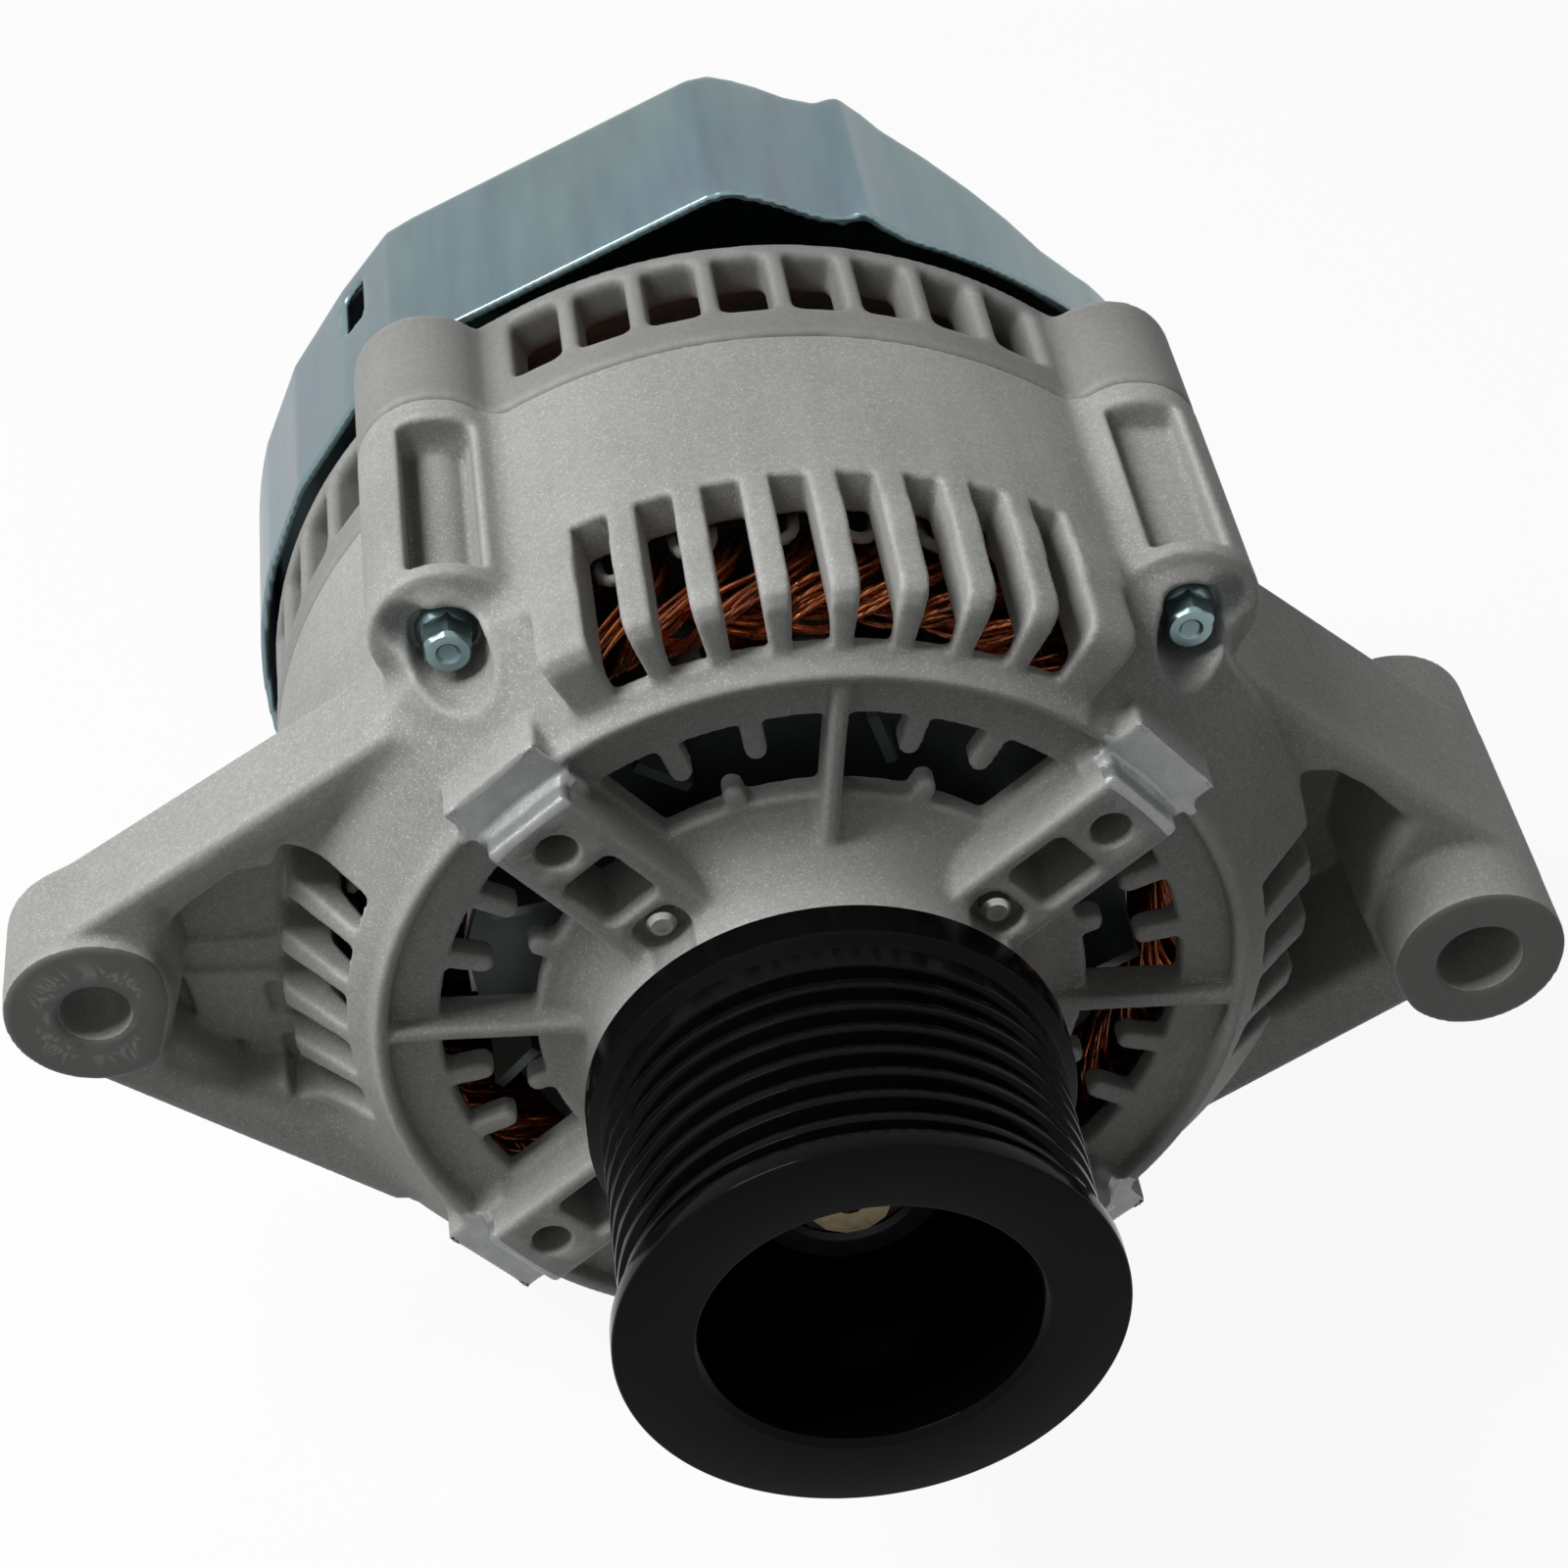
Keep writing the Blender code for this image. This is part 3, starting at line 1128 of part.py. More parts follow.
def cover_outline():
    """Round shell with a flat foot and a raised lug beside the top, listed from the fold at the left."""
    foot = degrees(acos(COVER_BOTTOM / COVER_RADIUS))
    arcs = [(COVER_FOLD_ANGLE, 270.0 - foot, 12), (270.0 + foot, 360.0 + COVER_CREASE_ANGLE, 15)]
    outline = []
    for start, stop, steps in arcs:
        outline += [polar(start + (stop - start) * k / steps, COVER_RADIUS) for k in range(steps + 1)]
    outline.append(polar(COVER_CREASE_ANGLE + COVER_CREASE_LEAD, COVER_RADIUS + COVER_CREASE))
    outline.append(polar(COVER_CREASE_ANGLE + COVER_CREASE_SWEEP, COVER_RADIUS))
    outline.append((COVER_LUG_X + COVER_LUG_WIDTH, COVER_LUG_Z - COVER_LUG_FALL))
    outline.append((COVER_LUG_X, COVER_LUG_Z))
    outline.append((COVER_LUG_X - COVER_LUG_ROUND, COVER_LUG_Z - COVER_LUG_FALL / 2))
    return outline


def inset(outline, distance):
    """The outline moved inwards by a distance, corner by corner."""
    moved = []
    count = len(outline)
    for k in range(count):
        before = Vector(outline[k]) - Vector(outline[k - 1])
        after = Vector(outline[(k + 1) % count]) - Vector(outline[k])
        normals = [Vector((-edge.y, edge.x)).normalized() for edge in (before, after)]
        middle = (normals[0] + normals[1]).normalized()
        moved.append(tuple(Vector(outline[k]) + middle * distance / max(middle.dot(normals[0]), 0.5)))
    return moved


def cover_step(offset):
    """Space above the sloping facet at the upper right of the cover's back."""
    start, low = COVER_SLOPE_START, COVER_STEP_Z - offset
    end = start + COVER_SLOPE_RUN
    shift = offset * hypot(COVER_SLOPE_RUN, COVER_SLOPE_DROP) / COVER_SLOPE_RUN
    front, back = LENGTH - COVER_SLOPE_DROP - shift, LENGTH - shift
    far = 2 * COVER_RADIUS
    lead = (LENGTH + COVER_SLOPE_DROP - back) * COVER_SLOPE_RUN / COVER_SLOPE_DROP
    shape = [(start - lead, LENGTH + COVER_SLOPE_DROP), (end, front), (far, front), (far, LENGTH + COVER_SLOPE_DROP)]
    return loft("step", [[(x, s, low) for x, s in shape], [(x, s, far) for x, s in shape]])


def rear_cover():
    outline = cover_outline()
    cover = prism("rear_cover", outline, COVER_FRONT, LENGTH)
    cut(cover, cover_step(0.0))
    inside = prism("inside", inset(outline, COVER_SHEET), COVER_FRONT - GAP, LENGTH - COVER_SHEET)
    cut(inside, cover_step(COVER_SHEET))
    cut(cover, inside)
    slot_start = COVER_FRONT + COVER_HOLE_AT
    holes = [spoke("slot", COVER_HOLE_ANGLE, COVER_RADIUS - CUT_REACH, COVER_RADIUS + CUT_REACH, COVER_HOLE_HALF,
                   slot_start, slot_start + COVER_HOLE_LENGTH)]
    front, back = LENGTH - COVER_SHEET - OVERCUT, LENGTH + GAP
    for k in range(COVER_VENTS):
        angle = COVER_VENT_MIDDLE + COVER_VENT_PITCH * (k - (COVER_VENTS - 1) / 2)
        holes.append(spoke("vent", angle, COVER_VENT_START, COVER_VENT_END, COVER_VENT_HALF, front, back))
    for angle in STUD_ANGLES:
        x, z = polar(angle, STUD_CIRCLE)
        holes.append(disc("hole", x, z, STUD_THREAD + GAP, cover_inside(angle) - OVERCUT, back, TINY))
    x, z = polar(TERMINAL_ANGLE, TERMINAL_CIRCLE)
    holes.append(disc("hole", x, z, BUSH_NECK + GAP, front, back))
    half_x, half_z = SOCKET_SIZE[0] / 2 + COVER_CLEAR, SOCKET_SIZE[1] / 2 + COVER_CLEAR
    x, z = regulator_place()
    holes.append(box("hole", (x - half_x, front, z - half_z), (x + half_x, back, z + half_z)))
    cut(cover, group("holes", holes))
    return finish(cover, ZINC)


def cover_inside(angle):
    """Station of the cover's inner face over a stud at an angle."""
    on_step = 0.0 < angle < 90.0
    drop = COVER_SLOPE_DROP + COVER_SHEET * 0.25 if on_step else 0.0
    return LENGTH - COVER_SHEET - drop


def cover_outside(angle):
    return LENGTH - (COVER_SLOPE_DROP if 0.0 < angle < 90.0 else 0.0)


def cover_fixings():
    for k, angle in enumerate(STUD_ANGLES, 1):
        x, z = polar(angle, STUD_CIRCLE)
        inside = cover_inside(angle) - GAP
        out = cover_outside(angle) + GAP
        steps = [(STUD_RADIUS, REAR_PLATE_FACE + GAP), (STUD_RADIUS, inside), (STUD_THREAD, inside)]
        steps.append((STUD_THREAD, out + STUD_OUT))
        finish(stepped(f"cover_stud_{k}", x, z, steps, TINY), STEEL)
        top = out + STUD_NUT_HEIGHT
        finish(hex_nut(f"cover_nut_{k}", x, z, STUD_NUT_FLATS, STUD_THREAD + GAP, out, top, TINY), ZINC)


def plate_sector(name, front, look):
    back = front + PLATE_THICKNESS
    profile = [(PLATE_INNER, front), (PLATE_OUTER, front), (PLATE_OUTER, back), (PLATE_INNER, back)]
    return finish(turned(name, profile, 10, PLATE_START, PLATE_SWEEP), look)


def rectifier():
    low = REAR_PLATE_FACE + GAP
    high = low + PLATE_THICKNESS + PLATE_SPACING
    plate_sector("negative_heat_sink", low, ALUMINIUM)
    plate_sector("positive_heat_sink", high, ALUMINIUM)
    for k in range(3):
        x, z = polar(PLATE_START + PLATE_SWEEP * (0.04 + 0.46 * k), PLATE_OUTER - 2 * INSULATOR_RADIUS)
        spacer = disc(f"heat_sink_spacer_{k + 1}", x, z, INSULATOR_RADIUS, low + PLATE_THICKNESS + GAP, high - GAP, TINY)
        finish(spacer, PLASTIC)
    for label, face, turn in (("negative", low + PLATE_THICKNESS, 0.17), ("positive", high + PLATE_THICKNESS, 0.31)):
        for k in range(DIODES_EACH):
            angle = PLATE_START + PLATE_SWEEP * (turn + 0.22 * k)
            x, z = polar(angle, (PLATE_INNER + PLATE_OUTER) / 2)
            diode = disc(f"{label}_diode_{k + 1}", x, z, DIODE_RADIUS, face + GAP, face + GAP + DIODE_HEIGHT)
            finish(diode, DARK_STEEL)


def output_terminal():
    x, z = polar(TERMINAL_ANGLE, TERMINAL_CIRCLE)
    seat = REAR_PLATE_FACE + 2 * GAP + 2 * PLATE_THICKNESS + PLATE_SPACING
    foot = seat + TERMINAL_FOOT
    steps = [(BUSH_NECK, seat), (BUSH_NECK, foot), (TERMINAL_RADIUS, foot), (TERMINAL_RADIUS, LENGTH + TERMINAL_OUT)]
    finish(stepped("output_terminal", x, z, steps, SMALL), STEEL)
    bore = TERMINAL_RADIUS + GAP
    out = LENGTH + GAP
    flange = out + BUSH_OUT
    bush = stepped("terminal_bush", x, z, [(BUSH_NECK, LENGTH - 2 * COVER_SHEET), (BUSH_NECK, out),
                                           (BUSH_RADIUS, out), (BUSH_RADIUS, flange)])
    cut(bush, disc("bore", x, z, bore, LENGTH - 3 * COVER_SHEET, flange + GAP))
    finish(bush, PLASTIC)
    nut = hex_nut("terminal_nut", x, z, TERMINAL_NUT_FLATS, bore, flange + GAP, flange + GAP + TERMINAL_NUT_HEIGHT)
    return finish(nut, ZINC)


def regulator_place():
    return REAR_SHOULDER_RADIUS - REGULATOR_SETBACK, -REGULATOR_DROP


def voltage_regulator():
    """Block on the rear bracket with the connector socket that reaches out through the cover."""
    wide, deep, high = REGULATOR_SIZE
    x, z = regulator_place()
    front = REAR_PLATE_FACE + GAP
    body = box("voltage_regulator", (x - wide / 2, front, z - high / 2), (x + wide / 2, front + deep, z + high / 2))
    half_x, half_z = SOCKET_SIZE[0] / 2, SOCKET_SIZE[1] / 2
    end = LENGTH + SOCKET_OUT
    unite(body, box("socket", (x - half_x, front + deep - GAP, z - half_z), (x + half_x, end, z + half_z)))
    half_x, half_z = half_x - SOCKET_WALL, half_z - SOCKET_WALL
    floor = front + deep + SOCKET_FLOOR
    cut(body, box("recess", (x - half_x, floor, z - half_z), (x + half_x, end + GAP, z + half_z)))
    return finish(body, PLASTIC)


ROTOR = ("pulley", "rotor_shaft", "pulley_nut", "pulley_spacer", "claw_pole_front", "claw_pole_rear", "field_coil",
         "front_fan", "rear_fan", "front_slip_ring", "rear_slip_ring", "slip_ring_sleeve", "front_bearing_inner_ring",
         "rear_bearing_inner_ring")


def parent_rotor():
    """Hang every turning piece on an empty that lies on the shaft's axis."""
    axis = bpy.data.objects.new("rotor_axis", None)
    bpy.context.scene.collection.objects.link(axis)
    axis.location = (0.0, at(core_middle()), 0.0)
    bpy.context.view_layer.update()
    for name in ROTOR:
        obj = bpy.data.objects[name]
        obj.parent = axis
        obj.matrix_parent_inverse = axis.matrix_world.inverted()


def build():
    clear_scene()
    pulley()
    rotor_shaft()
    pulley_nut()
    pulley_spacer()
    bearing("front", SHAFT_RADIUS + GAP, FRONT_INNER_RADIUS, FRONT_BEARING_RADIUS,
            HUB_FACE + HUB_LIP + GAP, FRONT_BEARING_WIDTH)
    bearing("rear", REAR_SEAT_RADIUS + GAP, REAR_INNER_RADIUS, REAR_BEARING_RADIUS,
            rear_bearing_front(), REAR_BEARING_WIDTH)
    drive_end_bracket()
    bearing_retainer()
    retainer_screws()
    stator_core()
    stator_windings()
    claw_pole("claw_pole_front", 0.0, 1)
    claw_pole("claw_pole_rear", 180.0 / POLES, -1)
    field_coil()
    fans()
    slip_rings()
    brushes()
    brush_holder()
    rear_bracket()
    through_bolts()
    rectifier()
    voltage_regulator()
    output_terminal()
    rear_cover()
    cover_fixings()
    parent_rotor()


build()
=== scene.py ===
"""Looks of a belt-driven alternator: cast brackets, grooved pulley, plated cover and copper windings.

Sizes are in millimetres. A station is the distance behind the pulley's front face, along the
shaft. Points are (x, station, z) until a mesh is made, which is in metres in the part's frame.
"""
import itertools
import logging
from dataclasses import dataclass, field
from enum import Enum
from math import asin, atan2, cos, pi, radians, sin, sqrt, tan
from typing import Callable, Sequence

import bmesh
import bpy
import numpy as np
from mathutils import Matrix, Vector


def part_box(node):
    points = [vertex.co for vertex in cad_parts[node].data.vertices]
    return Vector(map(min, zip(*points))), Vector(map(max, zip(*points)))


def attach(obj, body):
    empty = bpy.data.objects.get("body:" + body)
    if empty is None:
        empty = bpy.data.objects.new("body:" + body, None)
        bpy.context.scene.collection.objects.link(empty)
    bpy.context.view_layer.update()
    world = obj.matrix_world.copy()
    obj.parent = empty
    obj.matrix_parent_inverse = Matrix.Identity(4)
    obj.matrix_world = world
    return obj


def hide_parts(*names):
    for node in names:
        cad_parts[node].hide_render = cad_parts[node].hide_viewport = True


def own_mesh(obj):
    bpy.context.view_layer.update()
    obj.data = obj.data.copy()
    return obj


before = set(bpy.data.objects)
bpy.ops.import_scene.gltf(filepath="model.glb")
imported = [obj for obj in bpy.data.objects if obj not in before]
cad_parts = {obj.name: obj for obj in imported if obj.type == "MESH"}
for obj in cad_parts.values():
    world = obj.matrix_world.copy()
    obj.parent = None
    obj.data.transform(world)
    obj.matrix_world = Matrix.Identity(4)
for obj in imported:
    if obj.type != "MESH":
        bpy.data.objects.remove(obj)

Array = np.ndarray
Point = tuple[float, float]
Place = tuple[float, float, float]
Colour = tuple[float, float, float]
Corners = tuple[Sequence[float], Sequence[float]]
Object = bpy.types.Object

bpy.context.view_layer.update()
LOG = logging.getLogger("alternator")
LENGTH = 160.0
FAR = 12.0
BODY_RADIUS = 65.5
CORE_SEAT = 61.1
QUARTERS = (0.0, 90.0, 180.0, 270.0)
BOLTS = [(side * 44.3, level * 48.1) for side, level in itertools.product((1.0, -1.0), repeat=2)]


class Body(Enum):
    """The bodies that pieces ride on."""

    HOUSING = "housing"
    ROTOR = "rotor"


@dataclass(frozen=True)
class Ear:
    """A mounting ear: the hole's place, the boss and plate with their end stations, and the bore."""

    x: float
    z: float
    radius: float
    boss: Point
    plate: Point
    bore: float
    chamfer: float


LEFT_EAR = Ear(-88.2, -1.5, 11.2, (59.0, 75.0), (61.0, 75.0), 4.35, 0.6)
RIGHT_EAR = Ear(86.8, -0.7, 11.2, (56.7, 107.0), (66.5, 96.0), 5.5, 0.5)


# ---------------------------------------------------------------- shapes as distances


def outline_distance(points: Sequence[Point], u: Array, v: Array) -> Array:
    """Signed distance to a closed outline, negative inside.

    Args:
        points: the outline's corners.
        u: first coordinate of each sample.
        v: second coordinate of each sample.
    Returns:
        The distance of each sample.
    """
    best = np.full(np.broadcast(u, v).shape, 1e9, np.float32)
    inside = np.zeros(best.shape, bool)
    for (ax, ay), (bx, by) in zip(points, list(points[1:]) + [points[0]]):
        ex, ey = bx - ax, by - ay
        wx, wy = u - ax, v - ay
        t = np.clip((wx * ex + wy * ey) / max(ex * ex + ey * ey, 1e-9), 0.0, 1.0)
        np.minimum(best, (wx - ex * t) ** 2 + (wy - ey * t) ** 2, out=best)
        if ey:
            inside ^= ((ay > v) != (by > v)) & (u < ax + wy * ex / ey)
    return np.where(inside, -1.0, 1.0) * np.sqrt(best)


class Shape:
    """A shape with a box round it and a signed distance, negative inside."""

    def box(self) -> Corners:
        """Lowest and highest (x, station, z) corner."""
        raise NotImplementedError

    def distance(self, x: Array, s: Array, z: Array) -> Array:
        """Signed distance over a grid given by its three axes."""
        raise NotImplementedError


@dataclass
class Extruded(Shape):
    """An outline of (x, z) points carried between two stations, with rounded edges at both ends."""

    outline: Sequence[Point]
    front: float
    back: float
    rounding: float = 0.0

    def box(self) -> Corners:
        """See Shape."""
        xs, zs = zip(*self.outline)
        return (min(xs), self.front, min(zs)), (max(xs), self.back, max(zs))

    def distance(self, x: Array, s: Array, z: Array) -> Array:
        """See Shape."""
        plan = outline_distance(self.outline, x[:, None], z[None, :])[:, None, :] + self.rounding
        slab = np.abs(s - (self.front + self.back) / 2) - (self.back - self.front) / 2
        slab = slab[None, :, None] + self.rounding
        corner = np.hypot(np.maximum(plan, 0.0), np.maximum(slab, 0.0))
        return corner + np.minimum(np.maximum(plan, slab), 0.0) - self.rounding


@dataclass
class Turned(Shape):
    """An outline of (radius, station) points turned about a line parallel to the shaft.

    With half below 180, only what lies within half degrees of the direction middle is kept.
    """

    profile: Sequence[Point]
    x: float = 0.0
    z: float = 0.0
    middle: float = 0.0
    half: float = 180.0

    def box(self) -> Corners:
        """See Shape."""
        radii, stations = zip(*self.profile)
        reach = max(radii)
        low, high = min(stations), max(stations)
        return (self.x - reach, low, self.z - reach), (self.x + reach, high, self.z + reach)

    def distance(self, x: Array, s: Array, z: Array) -> Array:
        """See Shape; the radius is looked up in a table."""
        radius = np.hypot((x - self.x)[:, None], (z - self.z)[None, :])
        step = 0.2
        radii = np.arange(0.0, radius.max() + 2 * step, step)
        table = outline_distance(self.profile, radii[:, None], s[None, :]).astype(np.float32)
        place = radius / step
        low = place.astype(np.int32)
        part = (place - low)[..., None].astype(np.float32)
        values = (table[low] * (1 - part) + table[low + 1] * part).transpose(0, 2, 1)
        if self.half >= 180.0:
            return values
        turn, half = radians(self.middle), radians(self.half)
        along = x[:, None] * cos(turn) + z[None, :] * sin(turn)
        across = np.abs(-x[:, None] * sin(turn) + z[None, :] * cos(turn))
        side = across * cos(half) - along * sin(half)
        return np.maximum(values, side[:, None, :])


@dataclass
class Rod(Shape):
    """A straight rod with round ends between two (x, station, z) points."""

    start: Place
    end: Place
    radius: float

    def box(self) -> Corners:
        """See Shape."""
        pairs = list(zip(self.start, self.end))
        return [min(p) - self.radius for p in pairs], [max(p) + self.radius for p in pairs]

    def distance(self, x: Array, s: Array, z: Array) -> Array:
        """See Shape."""
        grid = (x[:, None, None], s[None, :, None], z[None, None, :])
        way = [b - a for a, b in zip(self.start, self.end)]
        dots = sum((g - a) * w for g, a, w in zip(grid, self.start, way))
        t = np.clip(dots / max(sum(w * w for w in way), 1e-9), 0.0, 1.0)
        return np.sqrt(sum((g - a - w * t) ** 2 for g, a, w in zip(grid, self.start, way))) - self.radius


@dataclass
class SlopedCut(Shape):
    """Everything above a slope that falls from start to end, (x, station) points, beyond a height z."""

    start: Point
    end: Point
    floor: float

    def box(self) -> Corners:
        """See Shape."""
        return (self.start[0] - 30.0, self.end[1], self.floor), (80.0, 170.0, 80.0)

    def distance(self, x: Array, s: Array, z: Array) -> Array:
        """See Shape."""
        fall = Vector((self.end[0] - self.start[0], self.end[1] - self.start[1])).normalized()
        above = (x[:, None] - self.start[0]) * -fall[1] + (s[None, :] - self.start[1]) * fall[0]
        over = np.maximum(-above, self.end[1] - s[None, :])[:, :, None]
        return np.maximum(over, (self.floor - z)[None, None, :])


def disc(x: float, z: float, radius: float, front: float, back: float) -> Turned:
    """A round bar parallel to the shaft."""
    return Turned([(0.0, front), (radius, front), (radius, back), (0.0, back)], x, z)


def bar(angle: float, inner: float, outer: float, half: float, front: float, back: float,
        rounding: float = 0.0) -> Extruded:
    """A block that points outward from the shaft.

    Args:
        angle: its direction in degrees, from +X towards +Z.
        inner: distance of its near end from the shaft.
        outer: distance of its far end.
        half: half its width.
        front: station of its front.
        back: station of its back.
        rounding: radius of its edges.
    Returns:
        The block.
    """
    turn = radians(angle)
    along, across = Vector((cos(turn), sin(turn))), Vector((-sin(turn), cos(turn)))
    corners = [(inner, -half), (outer, -half), (outer, half), (inner, half)]
    return Extruded([tuple(along * r + across * w) for r, w in corners], front, back, rounding)


def block_between(low: Place, high: Place, rounding: float = 0.0) -> Extruded:
    """A block between two (x, station, z) corners."""
    outline = [(low[0], low[2]), (high[0], low[2]), (high[0], high[2]), (low[0], high[2])]
    return Extruded(outline, low[1], high[1], rounding)


def polar(angle: float, radius: float) -> Point:
    """The (x, z) point at an angle in degrees and a distance from the shaft."""
    return radius * cos(radians(angle)), radius * sin(radians(angle))


def spread(middle: float, pitch: float, count: int) -> list[float]:
    """Evenly spaced angles about a middle one."""
    return [middle + pitch * (k - (count - 1) / 2) for k in range(count)]


def rounded(points: Sequence[Point], radius: float, steps: int = 3) -> list[Point]:
    """A closed outline with its corners rounded.

    Args:
        points: the corners.
        radius: rounding radius, limited by the length of each side.
        steps: points on each arc, less one.
    Returns:
        The rounded outline.
    """
    made: list[Point] = []
    for k, point in enumerate(points):
        here = Vector(point)
        before, after = Vector(points[k - 1]) - here, Vector(points[(k + 1) % len(points)]) - here
        turn = before.angle(after, pi)
        if turn > radians(175.0):
            made.append(tuple(point))
            continue
        reach = min(radius / tan(turn / 2), before.length * 0.45, after.length * 0.45)
        start, end = here + before.normalized() * reach, here + after.normalized() * reach
        for t in (j / steps for j in range(steps + 1)):
            made.append(tuple(start * (1 - t) ** 2 + here * 2 * t * (1 - t) + end * t ** 2))
    return made


def eased(block: Extruded, radius: float) -> Extruded:
    """The same block with the corners of its outline rounded."""
    return Extruded(rounded(block.outline, radius), block.front, block.back, block.rounding)


class Casting:
    """A grid of signed distances that a casting is shaped in; a negative value is metal."""

    def __init__(self, low: Place, high: Place, step: float) -> None:
        """Starts with nothing in the grid.

        Args:
            low: lowest (x, station, z) corner.
            high: highest corner.
            step: distance between samples.
        """
        self.step = step * 1.0
        self.axes = [np.arange(a, b + self.step, self.step, dtype=np.float32) for a, b in zip(low, high)]
        self.values = np.full([len(axis) for axis in self.axes], FAR, np.float32)

    def _shape(self, shapes: Sequence[Shape], fillet: float, cut: bool) -> None:
        """Joins shapes to the metal or cuts them out of it, near each shape's box only."""
        margin = fillet + 3 * self.step
        for shape in shapes:
            cells = []
            for axis, a, b in zip(self.axes, *shape.box()):
                start, stop = np.searchsorted(axis, (a - margin, b + margin))
                cells.append(slice(int(start), int(max(stop, start + 1))))
            place = tuple(cells)
            gap = shape.distance(*(axis[c] for axis, c in zip(self.axes, cells))).astype(np.float32)
            gap, here = -gap if cut else gap, self.values[place]
            blend = np.maximum(fillet - np.abs(here - gap), 0.0) ** 2 / (4 * fillet) if fillet else 0.0
            self.values[place] = np.maximum(here, gap) + blend if cut else np.minimum(here, gap) - blend

    def add(self, *shapes: Shape, fillet: float = 0.0) -> None:
        """Joins shapes to the metal, with a fillet in the corner where they meet it."""
        self._shape(shapes, fillet, cut=False)

    def cut(self, *shapes: Shape, fillet: float = 0.0) -> None:
        """Takes shapes out of the metal, with their rims rounded over."""
        self._shape(shapes, fillet, cut=True)

    def soften(self, rounds: int) -> None:
        """Rounds every edge and corner a little, as sand or a die leaves them."""
        for axis in list(range(3)) * rounds:
            padded = np.pad(self.values, [(1, 1) if k == axis else (0, 0) for k in range(3)], "edge")
            low = padded.take(range(0, padded.shape[axis] - 2), axis)
            high = padded.take(range(2, padded.shape[axis]), axis)
            self.values = (low + high) * np.float32(0.25) + self.values * np.float32(0.5)

    def surface(self) -> tuple[Array, Array]:
        """The zero surface as points in millimetres and four-sided faces."""
        inside = self.values < 0
        corners = list(itertools.product((0, 1), repeat=3))
        dims = [n - 1 for n in inside.shape]
        count = sum(inside[tuple(slice(c, c + n) for c, n in zip(corner, dims))].astype(np.int8)
                    for corner in corners)
        active = (count > 0) & (count < 8)
        cells = np.argwhere(active)
        level = {corner: self.values[tuple((cells + corner).T)] for corner in corners}
        total = np.zeros((len(cells), 3), np.float32)
        hits = np.zeros(len(cells), np.float32)
        for axis, near in itertools.product(range(3), corners):
            if near[axis]:
                continue
            far = tuple(1 if k == axis else c for k, c in enumerate(near))
            a, b = level[near], level[far]
            crossed = (a < 0) != (b < 0)
            share = np.where(crossed, a / np.where(crossed, a - b, 1.0), 0.0)
            for k in range(3):
                total[:, k] += np.where(crossed, share if k == axis else near[k], 0.0)
            hits += crossed
        points = np.array([axis[0] for axis in self.axes]) + (cells + total / hits[:, None]) * self.step
        index = np.full(active.shape, -1, np.int32)
        index[active] = np.arange(len(cells))
        return points, np.concatenate([self._walls(inside, index, axis) for axis in range(3)])

    @staticmethod
    def _walls(inside: Array, index: Array, axis: int) -> Array:
        """Faces across the grid lines of one axis."""
        steps = inside.shape[axis] - 1
        low, high = inside.take(range(steps), axis), inside.take(range(1, steps + 1), axis)
        edges = np.argwhere(low != high)
        u, v = (axis + 1) % 3, (axis + 2) % 3
        for k in (u, v):
            edges = edges[(edges[:, k] > 0) & (edges[:, k] < inside.shape[k] - 1)]
        around = []
        for du, dv in ((-1, -1), (0, -1), (0, 0), (-1, 0)):
            cell = edges.copy()
            cell[:, u] += du
            cell[:, v] += dv
            around.append(index[tuple(cell.T)])
        quads = np.stack(around, axis=1)
        return np.where(low[tuple(edges.T)][:, None], quads, quads[:, ::-1])


# ---------------------------------------------------------------- meshes


def mesh_object(name: str, points: Array, faces: Sequence[Sequence[int]]) -> Object:
    """An object from points in millimetres and faces.

    Args:
        name: the piece's name.
        points: (x, station, z) of each vertex.
        faces: corner numbers of each face.
    Returns:
        The new object, smooth shaded.
    """
    mesh = bpy.data.meshes.new(name)
    placed = (np.array(points, np.float64) - (0.0, LENGTH, 0.0)) / 1000.0
    mesh.from_pydata(placed.tolist(), [], faces)
    mesh.update()
    mesh.validate()
    mesh.shade_smooth()
    obj = bpy.data.objects.new(name, mesh)
    bpy.context.scene.collection.objects.link(obj)
    return obj


def cast_object(name: str, casting: Casting, faces: int) -> Object:
    """A casting's surface as an object of at most about so many triangles."""
    points, quads = casting.surface()
    obj = mesh_object(name, points, quads.tolist())
    if 2 * len(quads) > faces:
        obj.modifiers.new("thin", "DECIMATE").ratio = faces / (2 * len(quads))
        graph = bpy.context.evaluated_depsgraph_get()
        thinned = bpy.data.meshes.new_from_object(obj.evaluated_get(graph))
        obj.modifiers.clear()
        obj.data = thinned
        obj.data.shade_smooth()
    return obj


def sharpen(obj: Object, angle: float) -> Object:
    """Keeps edges sharper than an angle in degrees crisp."""
    obj.data.set_sharp_from_angle(angle=radians(angle))
    return obj


def recalculated(obj: Object) -> Object:
    """Joins points that coincide and turns every face outward."""
    mesh = bmesh.new()
    mesh.from_mesh(obj.data)
    bmesh.ops.remove_doubles(mesh, verts=mesh.verts, dist=1e-7)
    bmesh.ops.recalc_face_normals(mesh, faces=mesh.faces)
    mesh.to_mesh(obj.data)
    mesh.free()
    return obj


